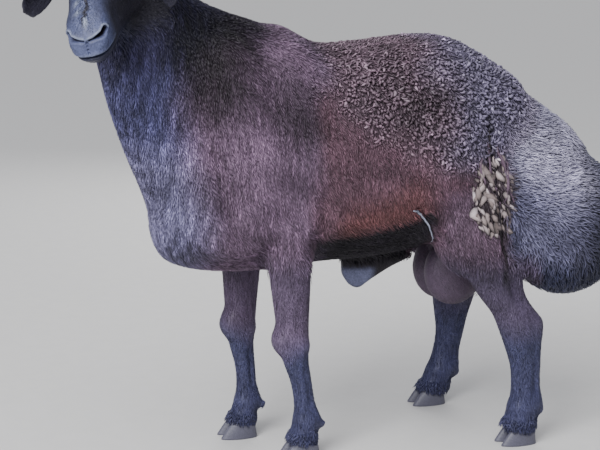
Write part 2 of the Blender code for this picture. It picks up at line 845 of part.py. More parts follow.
def lock(tree, side, x, z, length, half, rng):
    """A flat tapered lock that follows the skin and leaves it at the tip."""
    start, normal, _, _ = tree.find_nearest(Vector((x, side * 0.3, z)))
    bend = rng.uniform(-0.35, 0.35)
    rows, point = [], start
    for i in range(LOCK_ROWS):
        t = i / (LOCK_ROWS - 1)
        near, normal, _, _ = tree.find_nearest(point)
        lift = -0.006 + 0.013 * math.sin(0.75 * math.pi * t) + 0.004 * t
        down = Vector((bend * t + 0.12, 0, -1.0))
        down = (down - normal * down.dot(normal)).normalized()
        across = normal.cross(down)
        wide = half * (1 - 0.72 * t**1.6)
        thick = LOCK_THICKNESS / 2 * (1 - 0.45 * t)
        middle = near + normal * lift
        rows.append([
            middle + across * wide,
            middle + normal * thick + across * wide * 0.2,
            middle - across * wide,
            middle - normal * thick,
        ])
        point = near + down * (length / (LOCK_ROWS - 1))
    return loft("lock", rows)


def coat_forms(skin):
    """The clumps and locks of the coat, as closed forms with sunk roots."""
    rng = random.Random(COAT_SEED)
    forms = []
    for region, spacing, radii in (
        (curl_region, CURL_SPACING, CURL_RADII),
        (wave_region, WAVE_SPACING, WAVE_RADII),
    ):
        for place, normal in spread(skin, region, spacing, rng):
            forms.append(clump(place, normal, radii, rng))
    points = [v.co for v in skin.data.vertices]
    tree = BVHTree.FromPolygons(points, [list(p.vertices) for p in skin.data.polygons])
    for side in (-1, 1):
        for sizes in LOCKS:
            forms.append(lock(tree, side, *sizes, rng))
    return forms


def build_tail(body):
    """The small tail in the cleft between the two lobes."""
    root, tip = Vector(TAIL_ROOT), Vector(TAIL_TIP)
    along = (tip - root).normalized()
    out = Vector((-along.z, 0, along.x))
    rings = []
    for i in range(7):
        t = i / 6
        half = TAIL_HALF_WIDTH * math.sqrt(max(0.03, 1 - t**3)) * (1 - 0.25 * t)
        centre = root + (tip - root) * t + out * (0.010 * math.sin(math.pi * t))
        ring = []
        for j in range(10):
            angle = 2 * math.pi * j / 10
            across = Vector((0, half * math.cos(angle), 0))
            ring.append(centre + across + out * (0.8 * half * math.sin(angle)))
        rings.append(ring)
    return seat(loft("tail", rings), [body])


def build_scrotum(body):
    pieces = pair("testis", SCROTUM_MASS) + [mass("scrotal_neck", *SCROTUM_NECK)]
    sac, dense = melt("scrotum", pieces, 0.006, 4, 300)
    remove([dense])
    return seat(sac, [body])


def build_sheath(body):
    rings = [
        upright_ring(x, top, under, half, 0.45, 1.0)[::3]
        for x, top, under, half in spline(SHEATH, 2)
    ]
    return seat(loft("sheath", rings), [body])


def neck_block(grow):
    """All of the head's side of the cut between head and neck."""
    block = prism(HEAD_BLOCK, -0.25, 0.25, grow)
    block.data.transform(head_matrix())
    return block


def build_head():
    pieces = head_pieces() + [neck_piece(NECK_TOP_ROW)]
    head, dense = melt("head", pieces, HEAD_VOXEL, HEAD_SMOOTHING, HEAD_TRIANGLES)
    remove([dense])
    cut(head, [neck_block(-GAP / 2)], "INTERSECT")
    keep_largest(head)
    eyes = build_eyes(head)
    cut(head, [mouth_cutter()] + nostril_cutters(1) + nostril_cutters(-1))
    keep_largest(head)
    return [head] + eyes


def smooth_share(place):
    """Full smoothing on the trunk, less on the thin legs."""
    return 0.45 if place.z < 0.36 else 1.0


def build_body():
    pieces = torso_pieces() + [neck_piece()] + head_pieces()
    for name in LEAN:
        pieces += leg_pieces(name)
    return melt("torso", pieces, BODY_VOXEL, BODY_SMOOTHING, BODY_TRIANGLES, smooth_share)


def part_body(body):
    """Parts the whole body into its named pieces."""
    cut(body, [neck_block(GAP / 2)])
    keep_largest(body)
    nodes = []
    for name in LEAN:
        fore, side = name.startswith("fore"), leg_side(name)
        block = FORELEG_BLOCK if fore else HINDLEG_BLOCK
        if name == "foreleg_right":
            block = [(x - 0.035, z) for x, z in block]
        inner = FORELEG_INNER if fore else HINDLEG_INNER
        low, high = sorted((side * inner, side * 0.4))
        leg = part_off(body, block, low, high, name)
        cut(leg, [coronet_block(name, GAP / 2)])
        nodes.append(keep_largest(leg))
    front = [(-FAR, 0.300)] + TORSO_FROM_NECK + [(-FAR, FAR)]
    nodes.append(part_off(body, front, -0.5, 0.5, "neck"))
    nodes.append(part_off(body, RUMP_FRONT, -0.5, -GAP / 2, "rump_left"))
    nodes.append(part_off(body, RUMP_FRONT, GAP / 2, 0.5, "rump_right"))
    cut(body, [prism(RUMP_FRONT, -0.5, 0.5, GAP / 2)])
    nodes.append(keep_largest(body))
    return nodes


def material(name, colour, roughness):
    look = bpy.data.materials.new(name)
    look.use_nodes = True
    shader = look.node_tree.nodes["Principled BSDF"]
    shader.inputs["Base Color"].default_value = (*colour, 1.0)
    shader.inputs["Roughness"].default_value = roughness
    shader.inputs["Metallic"].default_value = 0.0
    return look


def paint(nodes):
    """Gives each node the look of its part of the animal."""
    looks = {
        "coat": material("dark coat", (0.030, 0.020, 0.020), 0.75),
        "face": material("face hair", (0.030, 0.033, 0.045), 0.6),
        "rump": material("grey fleece", (0.085, 0.075, 0.078), 0.85),
        "hoof": material("hoof horn", (0.060, 0.055, 0.052), 0.5),
        "eye": material("eye", (0.020, 0.012, 0.006), 0.1),
        "skin": material("bare skin", (0.040, 0.036, 0.042), 0.65),
    }
    kinds = {
        "head": "face", "ear": "face", "eye": "eye", "hoof": "hoof",
        "rump": "rump", "scrotum": "skin", "sheath": "skin",
    }
    for node in nodes:
        kind = kinds.get(node.name.split("_")[0], "coat")
        node.data.materials.clear()
        node.data.materials.append(looks[kind])


def finish(nodes):
    """Puts the nodes in the part's collection, with the origin under the middle."""
    corners = np.array([v.co for node in nodes for v in node.data.vertices])
    low, high = corners.min(0), corners.max(0)
    middle = (low + high) / 2
    shift = Matrix.Translation((-middle[0], -middle[1], -low[2]))
    for node in nodes:
        node.data.transform(shift)
        bpy.data.collections[WORK].objects.unlink(node)
        bpy.data.collections[PART].objects.link(node)
        node.data.shade_smooth()


def main():
    start_clean()
    body, dense = build_body()
    make_room(body)
    make_room(dense)
    head, *eyes = build_head()
    extras = [build_tail(body), build_scrotum(body), build_sheath(body)]
    ears = [build_ear("ear_left", 1, head), build_ear("ear_right", -1, head)]
    claws = [claw(name, across) for name in LEAN for across in (-1, 1)]
    cut(body, coat_forms(dense), "UNION")
    keep_largest(body)
    nodes = part_body(body) + [head] + eyes + ears + extras + claws
    remove([dense])
    paint(nodes)
    finish(nodes)


main()
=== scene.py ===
"""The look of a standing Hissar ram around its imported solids: skin, coat, eyes and hooves.

The flesh is modelled again from the same named sizes as the solids, finer and
a coat's depth smaller, and then covered with tufts, curls and waves of hair.
It is built in the animal's own frame, with x = 0 at the left fore hoof and
y = 0 on the middle line, and moved into the part's frame at the end.
"""

import math

import bmesh
import bpy
import numpy as np
from mathutils import Matrix, Vector
from mathutils.bvhtree import BVHTree


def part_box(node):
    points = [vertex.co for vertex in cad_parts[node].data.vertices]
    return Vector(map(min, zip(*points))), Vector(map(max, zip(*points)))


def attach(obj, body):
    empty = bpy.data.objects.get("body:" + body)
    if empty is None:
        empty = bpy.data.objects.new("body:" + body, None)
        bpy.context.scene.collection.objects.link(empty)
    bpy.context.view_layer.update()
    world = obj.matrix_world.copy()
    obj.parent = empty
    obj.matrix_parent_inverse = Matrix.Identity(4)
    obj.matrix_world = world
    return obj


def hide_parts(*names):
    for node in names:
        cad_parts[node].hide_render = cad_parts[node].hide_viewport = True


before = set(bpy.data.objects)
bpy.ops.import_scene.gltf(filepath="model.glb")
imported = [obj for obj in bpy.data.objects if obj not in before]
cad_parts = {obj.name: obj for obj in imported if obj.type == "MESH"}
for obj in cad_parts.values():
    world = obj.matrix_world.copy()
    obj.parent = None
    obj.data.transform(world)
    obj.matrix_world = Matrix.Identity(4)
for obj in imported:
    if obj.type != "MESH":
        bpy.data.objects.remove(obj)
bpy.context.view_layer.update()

# General
SPAN_STEPS = 6
RING_SIDES = 36
VOXEL = 0.0034
SKIN_TRIANGLES = 380000
SMOOTHING = 46
# The animal's left and right, as signs of y
SIDES = (-1, 1)

# Torso stations: x, top, underside, half width
TORSO = [
    (-0.287, 0.530, 0.440, 0.045),
    (-0.262, 0.600, 0.404, 0.082),
    (-0.200, 0.730, 0.383, 0.120),
    (-0.110, 0.855, 0.374, 0.142),
    (-0.030, 0.870, 0.378, 0.155),
    (0.050, 0.838, 0.386, 0.170),
    (0.150, 0.842, 0.390, 0.187),
    (0.250, 0.852, 0.402, 0.192),
    (0.330, 0.847, 0.428, 0.184),
    (0.400, 0.812, 0.455, 0.172),
    (0.470, 0.750, 0.470, 0.150),
]
# How high up a section it is widest, and how square it is
TORSO_SECTION = (0.46, 0.92)

# Neck stations: front x, front z, back x, back z, half width, y, turn to the left
NECK = [
    (-0.285, 0.440, 0.030, 0.800, 0.125, 0.0, 0),
    (-0.300, 0.520, -0.055, 0.868, 0.118, 0.0, 0),
    (-0.335, 0.610, -0.140, 0.898, 0.102, 0.0, 0),
    (-0.366, 0.700, -0.205, 0.930, 0.088, 0.0, 2),
    (-0.388, 0.790, -0.250, 0.975, 0.078, -0.003, 10),
    (-0.402, 0.868, -0.284, 1.018, 0.071, -0.009, 24),
    (-0.410, 0.940, -0.325, 1.050, 0.064, -0.018, 40),
]

# Muscle masses on each side: centre, radii, pitch in degrees about Y
TORSO_MASSES = {
    "shoulder_blade": ((-0.105, 0.078, 0.675), (0.088, 0.066, 0.205), -22),
    "upper_arm": ((-0.110, 0.092, 0.495), (0.112, 0.052, 0.072), -28),
    "hip": ((0.362, 0.085, 0.640), (0.122, 0.095, 0.148), 12),
    "thigh": ((0.372, 0.112, 0.520), (0.115, 0.070, 0.170), 10),
    "flank_fold": ((0.262, 0.118, 0.520), (0.060, 0.050, 0.095), 28),
    "rump_top": ((0.500, 0.080, 0.580), (0.165, 0.102, 0.112), 40),
    "rump_lobe": ((0.568, 0.106, 0.452), (0.142, 0.110, 0.152), 0),
}

# Leg stations: height, middle x, half length, middle y, half width
FORELEG = [
    (0.520, -0.068, 0.060, 0.092, 0.048),
    (0.430, -0.036, 0.050, 0.094, 0.041),
    (0.350, -0.029, 0.041, 0.092, 0.034),
    (0.285, -0.026, 0.036, 0.090, 0.030),
    (0.238, -0.027, 0.037, 0.089, 0.033),
    (0.200, -0.018, 0.028, 0.089, 0.026),
    (0.155, -0.006, 0.023, 0.089, 0.021),
    (0.112, 0.001, 0.023, 0.089, 0.021),
    (0.078, 0.007, 0.029, 0.089, 0.028),
    (0.052, 0.000, 0.031, 0.089, 0.030),
    (0.018, -0.011, 0.036, 0.089, 0.033),
]
HINDLEG = [
    (0.500, 0.362, 0.098, 0.116, 0.062),
    (0.430, 0.362, 0.082, 0.127, 0.055),
    (0.370, 0.390, 0.064, 0.136, 0.046),
    (0.320, 0.408, 0.051, 0.143, 0.039),
    (0.280, 0.436, 0.049, 0.147, 0.034),
    (0.248, 0.451, 0.050, 0.149, 0.035),
    (0.208, 0.457, 0.041, 0.150, 0.031),
    (0.165, 0.464, 0.034, 0.150, 0.026),
    (0.118, 0.466, 0.033, 0.150, 0.025),
    (0.085, 0.468, 0.038, 0.149, 0.031),
    (0.058, 0.460, 0.038, 0.148, 0.031),
    (0.020, 0.446, 0.042, 0.148, 0.034),
]

# How far each foot is set forward: slope per metre of height, and at the floor
LEAN = {
    "foreleg_left": (0.0, 0.0),
    "foreleg_right": (0.096, -0.086),
    "hindleg_left": (0.0, 0.0),
    "hindleg_right": (0.220, -0.070),
}
SIDE_SHIFT = {
    "foreleg_left": 0.0,
    "foreleg_right": -0.016,
    "hindleg_left": 0.0,
    "hindleg_right": 0.014,
}
DEWCLAW_BACK = 0.030
DEWCLAW_HEIGHT = 0.066
DEWCLAW_RADII = (0.009, 0.0075, 0.013)
DEWCLAW_APART = 0.014
DEWCLAW_PITCH = 20

# Hooves
CLAW_LENGTH = 0.080
CLAW_WIDTH = 0.0305
CLAW_SPLIT = 0.0022
CORONET_FRONT = 0.042
CORONET_BACK = 0.024
TOE_BEVEL = 0.027

# Head: its place, and its turn to the left, pitch down and tilt in degrees
POLL = Vector((-0.378, -0.017, 1.054))
HEAD_YAW = 64
HEAD_PITCH = 32
HEAD_TILT = 10
# Head stations: distance from the poll, top, underside, half width
HEAD = [
    (-0.045, -0.045, -0.120, 0.040),
    (-0.012, -0.012, -0.142, 0.054),
    (0.038, 0.006, -0.158, 0.060),
    (0.088, 0.015, -0.157, 0.058),
    (0.134, 0.017, -0.144, 0.051),
    (0.178, 0.012, -0.131, 0.045),
    (0.216, 0.001, -0.124, 0.042),
    (0.248, -0.012, -0.119, 0.040),
    (0.276, -0.025, -0.114, 0.036),
    (0.298, -0.043, -0.106, 0.028),
    (0.313, -0.062, -0.090, 0.015),
]
HEAD_SECTION = (0.55, 0.80)
# Masses of the head on the middle line: centre, radii, pitch
HEAD_MASSES = {
    "nose_bridge": ((0.165, 0.0, -0.020), (0.100, 0.029, 0.036), 12),
    "muzzle": ((0.262, 0.0, -0.060), (0.046, 0.041, 0.037), 22),
    "chin": ((0.270, 0.0, -0.096), (0.034, 0.025, 0.016), -6),
    "nape": ((-0.018, 0.0, -0.078), (0.058, 0.056, 0.068), 0),
}
# Masses of the head on each side
HEAD_SIDE_MASSES = {
    "brow": ((0.100, 0.043, -0.018), (0.044, 0.022, 0.026), 12),
    "cheek": ((0.070, 0.040, -0.096), (0.070, 0.026, 0.062), 6),
    "upper_lip": ((0.288, 0.014, -0.066), (0.026, 0.022, 0.017), 14),
    "nostril_wing": ((0.258, 0.028, -0.046), (0.030, 0.014, 0.024), 24),
    "ear_butt": ((0.004, 0.048, -0.042), (0.032, 0.022, 0.034), 0),
}

# Eyes, on the head
EYE_PLACE = (0.106, 0.0505, -0.022)
EYE_RADIUS = 0.0165
EYE_FACETS = (64, 40)
EYE_FACING = (0.42, 0.88, 0.20)
LID_THICKNESS = 0.0034 * 0.72
EYE_OPENING = (0.0135, 0.0078 * 0.86)
EYE_SLANT = 18

# Nostrils and mouth, on the head: the left nostril's line, the way it goes in, its half
# width at the start and what it gains, and the shares of it over which it gains that
NOSTRIL = [
    (0.3045, 0.0065, -0.0520),
    (0.3010, 0.0145, -0.0512),
    (0.2965, 0.0220, -0.0505),
    (0.2900, 0.0280, -0.0495),
    (0.2800, 0.0312, -0.0460),
]
NOSTRIL_WAY = (-0.80, -0.58, -0.12)
NOSTRIL_HALF = (0.0013, 0.0030)
NOSTRIL_WIDENS = (0.10, 0.80)
MOUTH_FRONT = 0.310
MOUTH_CORNER = (0.222, 0.041, -0.084)
MOUTH_HEIGHT = -0.0815

# Ears
EAR_ROOT = (0.012, 0.060, -0.030)
EAR_OUT = 0.082
EAR_FORWARD = 0.060
EAR_DROP = 0.124
EAR_LIFT = 0.048
EAR_FLARE = 0.035
EAR_HALF_WIDTHS = [0.017, 0.028, 0.034, 0.036, 0.035, 0.032, 0.026, 0.012]
EAR_THICKNESS = 0.0055
EAR_CUP = (150, 55)
EAR_ROWS = 26
EAR_COLUMNS = 17

# Tail, scrotum and sheath
TAIL_ROOT = (0.640, 0.0, 0.598)
TAIL_TIP = (0.722, 0.0, 0.500)
TAIL_HALF_WIDTH = 0.020
SCROTUM_MASS = ((0.352, 0.031, 0.352), (0.068, 0.042, 0.076), 6)
SCROTUM_NECK = ((0.345, 0.0, 0.425), (0.042, 0.040, 0.050), 0)
TAIL_STEPS = 12
TAIL_SIDES = 20
# Sheath stations: x, top, underside, half width
SHEATH = [
    (0.110, 0.395, 0.352, 0.012),
    (0.126, 0.410, 0.328, 0.018),
    (0.148, 0.415, 0.319, 0.020),
    (0.172, 0.415, 0.334, 0.022),
    (0.215, 0.415, 0.358, 0.022),
    (0.268, 0.415, 0.380, 0.018),
]
SHEATH_SECTION = (0.45, 1.0)

# Lower edge of the curls on the back and hip, in x and z
CURL_EDGE = [
    (-0.045, 0.800), (0.046, 0.700), (0.129, 0.655), (0.200, 0.632), (0.260, 0.600),
    (0.319, 0.596), (0.430, 0.610),
]
# Upper edge of the black belly, in x and z
BELLY_EDGE = [(0.02, 0.455), (0.12, 0.463), (0.19, 0.488), (0.26, 0.512)]
# Rear edge of the neck's dark coat, in z and x
NECK_EDGE = [
    (0.30, -0.215), (0.50, -0.205), (0.62, -0.235), (0.74, -0.250), (0.84, -0.200),
    (0.92, -0.140),
]
# Front edge of the two lobes of the rump, in z and x
LOBE_FRONT = [
    (0.30, 0.405), (0.39, 0.404), (0.44, 0.402), (0.50, 0.396), (0.56, 0.392),
    (0.62, 0.392), (0.68, 0.415), (0.74, 0.470), (0.80, 0.560),
]
# Lines that are sunk into the flesh, the first in front of the rump's lobes: x and z,
# half width and depth
CREASES = [
    (
        [
            (0.357, 0.684), (0.367, 0.624), (0.376, 0.544), (0.391, 0.493), (0.397, 0.442),
            (0.400, 0.360),
        ],
        0.0075,
        0.013,
    ),
    (
        [(-0.195, 0.650), (-0.180, 0.580), (-0.168, 0.520), (-0.155, 0.468), (-0.110, 0.432)],
        0.016,
        0.012,
    ),
    (
        [(0.014, 0.580), (0.022, 0.530), (0.022, 0.490), (0.014, 0.450), (0.004, 0.410)],
        0.014,
        0.010,
    ),
    ([(0.205, 0.512), (0.222, 0.494), (0.243, 0.468), (0.258, 0.438)], 0.008, 0.010),
    ([(-0.070, 0.585), (-0.020, 0.560), (0.010, 0.545)], 0.020, 0.005),
]
# Places that stand out a little: x, z, half width and height
SWELLS = [
    (-0.225, 0.500, 0.055, 0.010),
    (-0.100, 0.560, 0.060, 0.008),
    (-0.020, 0.475, 0.036, 0.008),
    (0.270, 0.560, 0.055, 0.006),
    (0.330, 0.455, 0.050, 0.006),
]
# Underside of the head where it meets the neck, in its own axes: x, and z there
HEAD_FLOOR = ((-0.066, 0.0, 0.1, 0.2, 0.32), (-0.035, -0.155, -0.172, -0.158, -0.145))

# Colours of the coat, as linear red, green and blue
BARREL_TONE = (0.150, 0.079, 0.110)
RUST_TONE = (0.225, 0.090, 0.092)
BELLY_TONE = (0.014, 0.010, 0.017)
BEHIND_WITHERS_TONE = (0.180, 0.126, 0.200)
SHOULDER_TONE = (0.190, 0.122, 0.190)
WITHERS_TONE = (0.028, 0.019, 0.036)
CURLS_BACK_TONE = (0.150, 0.098, 0.130)
CURLS_HIP_TONE = (0.145, 0.125, 0.195)
# Rump lobes: silver-blue wool, the top paler partly with painted light from above
RUMP_TOP_LIT_TONE = (0.400, 0.378, 0.500)
RUMP_MID_TONE = (0.200, 0.195, 0.320)
# Underside and rear edge of the lobes: dark wool, partly painted shade
RUMP_LOW_SHADE_TONE = (0.040, 0.043, 0.092)
MAT_SHADE_TONE = (0.075, 0.055, 0.066)
SHEATH_TIP_TONE = (0.150, 0.160, 0.270)
# Pale whorled hair of the nose, also the tone of painted highlights on the nostrils and upper lip
WHORL_AND_HIGHLIGHT_TONE = (0.330, 0.370, 0.480)
# Cleft between the rump's lobes: darker hair and painted shade
CLEFT_SHADE_TONE = (0.030, 0.030, 0.045)
THIGH_TONE = (0.150, 0.094, 0.140)
# Top of the neck: black hair, darkened further by a painted shadow of the head
NECK_TOP_SHADOW_TONE = (0.034, 0.031, 0.076)
# Neck: black hair, its blue partly a painted reflection of the sky
NECK_MID_REFLECTION_TONE = (0.088, 0.086, 0.195)
# Chest and brisket: black hair made pale with painted sheen
CHEST_SHEEN_TONE = (0.200, 0.185, 0.320)
FORELEG_HAIR_TONE = (0.125, 0.088, 0.148)
SHANK_TONE = (0.095, 0.072, 0.126)
CANNON_TONE = (0.058, 0.060, 0.132)
FACE_BACK_TONE = (0.020, 0.018, 0.028)
# Front of the face: dark hair made bluish grey, partly with painted sheen
FACE_SHEEN_TONE = (0.088, 0.102, 0.202)
LIPS_TONE = (0.026, 0.027, 0.050)
EAR_HAIR_TONE = (0.030, 0.028, 0.046)
MAT_TONE = (0.310, 0.250, 0.248)
FOLD_TONE = (0.420, 0.440, 0.560)
BARE_TONE = (0.092, 0.063, 0.100)

# Darker or paler patches, of tone, painted shade and sheen: x, z, half length, half height,
# strength
TONE_SHADE_AND_SHEEN_PATCHES = [
    (-0.190, 0.830, 0.092, 0.080, 0.20),
    (-0.300, 0.830, 0.036, 0.085, 2.10),
    (-0.254, 0.778, 0.030, 0.040, 1.60),
    (-0.190, 0.560, 0.035, 0.045, 0.70),
    (-0.040, 0.820, 0.050, 0.030, 1.20),
    (0.010, 0.500, 0.040, 0.060, 1.35),
    (0.070, 0.455, 0.050, 0.030, 0.65),
    (0.180, 0.740, 0.060, 0.045, 0.62),
    (-0.035, 0.705, 0.045, 0.075, 0.42),
    (-0.222, 0.622, 0.034, 0.050, 1.55),
    (-0.286, 0.665, 0.028, 0.040, 1.40),
    (-0.178, 0.748, 0.070, 0.055, 0.42),
    (0.215, 0.700, 0.055, 0.040, 0.65),
    (-0.235, 0.665, 0.035, 0.030, 1.30),
    (-0.008, 0.667, 0.032, 0.040, 0.65),
    (0.020, 0.815, 0.040, 0.025, 0.72),
    (0.000, 0.770, 0.035, 0.022, 1.30),
    (-0.225, 0.425, 0.055, 0.028, 0.60),
    (0.495, 0.469, 0.070, 0.045, 0.75),
    (-0.240, 0.492, 0.045, 0.040, 1.40),
    (-0.120, 0.640, 0.045, 0.055, 1.45),
    (-0.045, 0.450, 0.035, 0.035, 1.25),
    (0.290, 0.530, 0.045, 0.035, 1.45),
    (0.490, 0.615, 0.085, 0.060, 1.15),
    (0.450, 0.385, 0.035, 0.035, 1.25),
    (0.595, 0.440, 0.050, 0.090, 0.45),
    (0.500, 0.560, 0.045, 0.045, 1.45),
    (0.255, 0.450, 0.030, 0.035, 1.50),
    (0.150, 0.560, 0.090, 0.030, 1.20),
    (-0.340, 0.560, 0.060, 0.060, 0.80),
    (-0.029, 0.240, 0.030, 0.030, 1.60),
    (-0.100, 0.705, 0.110, 0.050, 0.84),
    (0.275, 0.700, 0.050, 0.050, 0.80),
    (0.385, 0.350, 0.050, 0.045, 0.70),
    (-0.300, 0.925, 0.040, 0.050, 1.45),
    (0.400, 0.655, 0.032, 0.032, 1.35),
    (0.600, 0.520, 0.040, 0.070, 0.72),
]
# The dark parting down the nose: distance from the poll, and how far left
PARTING = [
    (0.140, 0.000),
    (0.165, 0.003),
    (0.185, -0.003),
    (0.205, 0.003),
    (0.222, -0.002),
    (0.239, 0.0026),
    (0.253, 0.0066),
    (0.2625, -0.0010),
    (0.2665, 0.0046),
    (0.2715, -0.0038),
    (0.2860, -0.0033),
]
# The matted patch under the hip: middle x and z, and half sizes
MAT = (0.366, 0.528, 0.044, 0.078)
# Felted cords down the crease behind it: x and z at the top, x at the end, length,
# sway, phase, half width and how pale
CORDS = [
    (0.357, 0.664, 0.400, 0.290, 0.0035, 0.4, 0.0036, 0.12),
    (0.372, 0.620, 0.404, 0.190, 0.0040, 2.0, 0.0030, 0.14),
    (0.362, 0.668, 0.372, 0.110, 0.0040, 3.1, 0.0030, 0.22),
    (0.350, 0.640, 0.372, 0.100, 0.0040, 1.1, 0.0036, 0.95),
    (0.384, 0.630, 0.402, 0.120, 0.0045, 4.2, 0.0040, 1.00),
    (0.394, 0.598, 0.414, 0.090, 0.0040, 0.9, 0.0034, 1.25),
    (0.374, 0.560, 0.388, 0.080, 0.0030, 5.1, 0.0036, 1.50),
    (0.338, 0.610, 0.346, 0.060, 0.0040, 1.9, 0.0030, 0.80),
]
# The pale edge of the flank fold
FOLD = [(0.198, 0.510), (0.211, 0.506), (0.231, 0.487), (0.251, 0.461), (0.266, 0.432)]

# Camera and light, in the animal's frame
CAMERA_PLACE = (-0.850, -2.679, 0.975)
CAMERA_TURN = 18
CAMERA_DOWN = 10.35
CAMERA_LENS = 84
SENSOR = 36
FLOOR_SIZE = 90
LIGHT_TARGET = (0.1, 0, 0.6)
# Square lamps: name, place, size, power and colour
AREA_LIGHTS = [
    ("key", (-2.6, -2.4, 2.6), 2.0, 150, (0.97, 0.98, 1.0)),
    ("rear", (1.4, 3.2, 2.4), 2.5, 70, (1.0, 1.0, 1.0)),
]
SKY_WAY = (0.45, 0.50, -1.0)
SKY_STRENGTH = 2.1
SKY_SPREAD = 55

# How far the root of an ear is sunk in the head
EAR_SUNK = 0.012
# Heights where the legs' own shapes and tones begin, and where their sinews do
LEG_TOP = {"fore": 0.415, "hind": 0.40}
SINEW_TOP = {"fore": 0.205, "hind": 0.235}
# How deep the skin lies under the coat, and how much more or less in places
BODY_DEPTH = 0.0050
CURL_DEPTH = 0.0050
WAVE_DEPTH = 0.0060
HIP_RISE = 0.0130
EYE_SUNK = 0.0035
CORNEA_BULGE = 0.0009
# The parting's half widths at distances from the poll
PARTING_HALF = ((0.14, 0.20, 0.262, 0.272, 0.286), (0.0012, 0.0022, 0.0026, 0.0012, 0.0009))
# Triangles of the coarse skin that the bake's map is made from
MAP_TRIANGLES = 12000
# Length of one wave of the waved locks, and half width of the fold's pale edge
WAVE_LENGTH = 0.019
FOLD_HALF = 0.0034
# Rings of a felted flake, as width and height, and its shade by height
FLAKE_RINGS = [(0.75, -1.0), (1.0, -0.45), (0.88, 0.10), (0.50, 0.62)]
FLAKE_SHADE = ((-1.1, -0.45, 0.10, 0.62, 0.92), (0.05, 0.07, 0.42, 1.0, 1.25))
CLAW_STEPS = 18

# Nodes that the skin stands for, besides the legs, and the slots with glossy hair
FLESH_NODES = (
    "head", "neck", "torso", "tail", "scrotum", "sheath", "ear_left", "ear_right",
    "rump_left", "rump_right",
)
SLEEK_SLOTS = ("leg_hair", "face_hair", "ear_hair", "bare_skin")
# Finishes: roughness, specular, size and depth of the bump, mottling and tint
SKIN_FINISH = (0.52, 0.35, 0.0035, 0.0008, 0.3)
FUR_FINISH = (0.5, 0.5, 0.0016, 0.0004, 0.25)
SLEEK_FINISH = (0.42, 0.4, 0.0016, 0.0004, 0.25)
HORN_FINISH = (0.45, 0.5, 0.0018, 0.0005, 0.3, (0.092, 0.090, 0.125))
FLOOR_FINISH = (0.8, 0.2, 0.05, 0.0005, 0.02, (0.62, 0.61, 0.60))
# Ovals on the eye: half length, half height and softness, and the tones of its parts
IRIS_OVAL = (0.0098, 0.0088, 0.16)
PUPIL_OVAL = (0.0070, 0.0034, 0.12)
IRIS_DARK = (0.024, 0.012, 0.006, 1)
IRIS_PALE = (0.115, 0.060, 0.022, 1)
EYE_RIM = (0.035, 0.022, 0.018, 1)
PUPIL = (0.004, 0.004, 0.006, 1)


# Soft boxes: the ramps, each from nothing to all, whose product is 1 inside
SAC_BOX = ((0.090, 0.070), (0.425, 0.395), (0.262, 0.285), (0.440, 0.420))
SHEATH_BOX = ((0.034, 0.026), (0.400, 0.375), (0.075, 0.100), (0.285, 0.262))
TAIL_BOX = ((0.030, 0.024), (0.640, 0.652), (0.46, 0.48))
PHILTRUM_BOX = ((-0.079, -0.074), (-0.050, -0.055), (0.28, 0.29))
WHORL_BOX = ((0.011, 0.004), (0.13, 0.16), (0.282, 0.270))
CORONET_BOX = ((0.030, 0.034), (0.058, 0.050))

# Relief of the legs: which legs, how far it stands out, the side it is on, the place
# along the leg's section with its half width, and the height with its half width
EVERYWHERE = (0, math.inf)
LEG_MARKS = [
    ("leg", -0.0034, "sinew", (0.34, 0.20), EVERYWHERE),
    ("leg", 0.0012, "sinew", (-0.25, 0.25), EVERYWHERE),
    ("leg", -0.0030, "back", EVERYWHERE, (0.056, 0.012)),
    ("leg", 0.0024, "round", EVERYWHERE, (0.080, 0.012)),
    ("fore", 0.0048, "front", EVERYWHERE, (0.243, 0.024)),
    ("fore", -0.0020, "front", EVERYWHERE, (0.282, 0.014)),
    ("fore", -0.0024, "front", EVERYWHERE, (0.206, 0.012)),
    ("fore", 0.0030, "back", EVERYWHERE, (0.232, 0.010)),
    ("fore", -0.0020, "flank", (-0.05, 0.22), (0.235, 0.016)),
    ("hind", -0.0095, "flank", (0.34, 0.26), (0.335, 0.032)),
    ("hind", 0.0040, "back", EVERYWHERE, (0.262, 0.014)),
    ("hind", 0.0022, "flank", (-0.2, 0.3), (0.250, 0.022)),
]
# Relief of the cheeks, in the head's axes: how far it stands out, x with its half width,
# z with its half width, the slope of z and where it turns, and how far aside it starts
CHEEK_MARKS = [
    (-0.0055, (0.212, 0.022), (-0.062, 0.020), (0, 0), (0.018, 0.030)),
    (-0.0046, (0.150, 0.018), (-0.045, 0.006), (-0.55, 0.135), (0.025, 0.035)),
    (-0.0060, (0.125, 0.045), (-0.128, 0.012), (0, 0), (0.015, 0.028)),
    (0.0052, (0.135, 0.035), (-0.062, 0.010), (0.25, 0.12), (0.028, 0.040)),
]

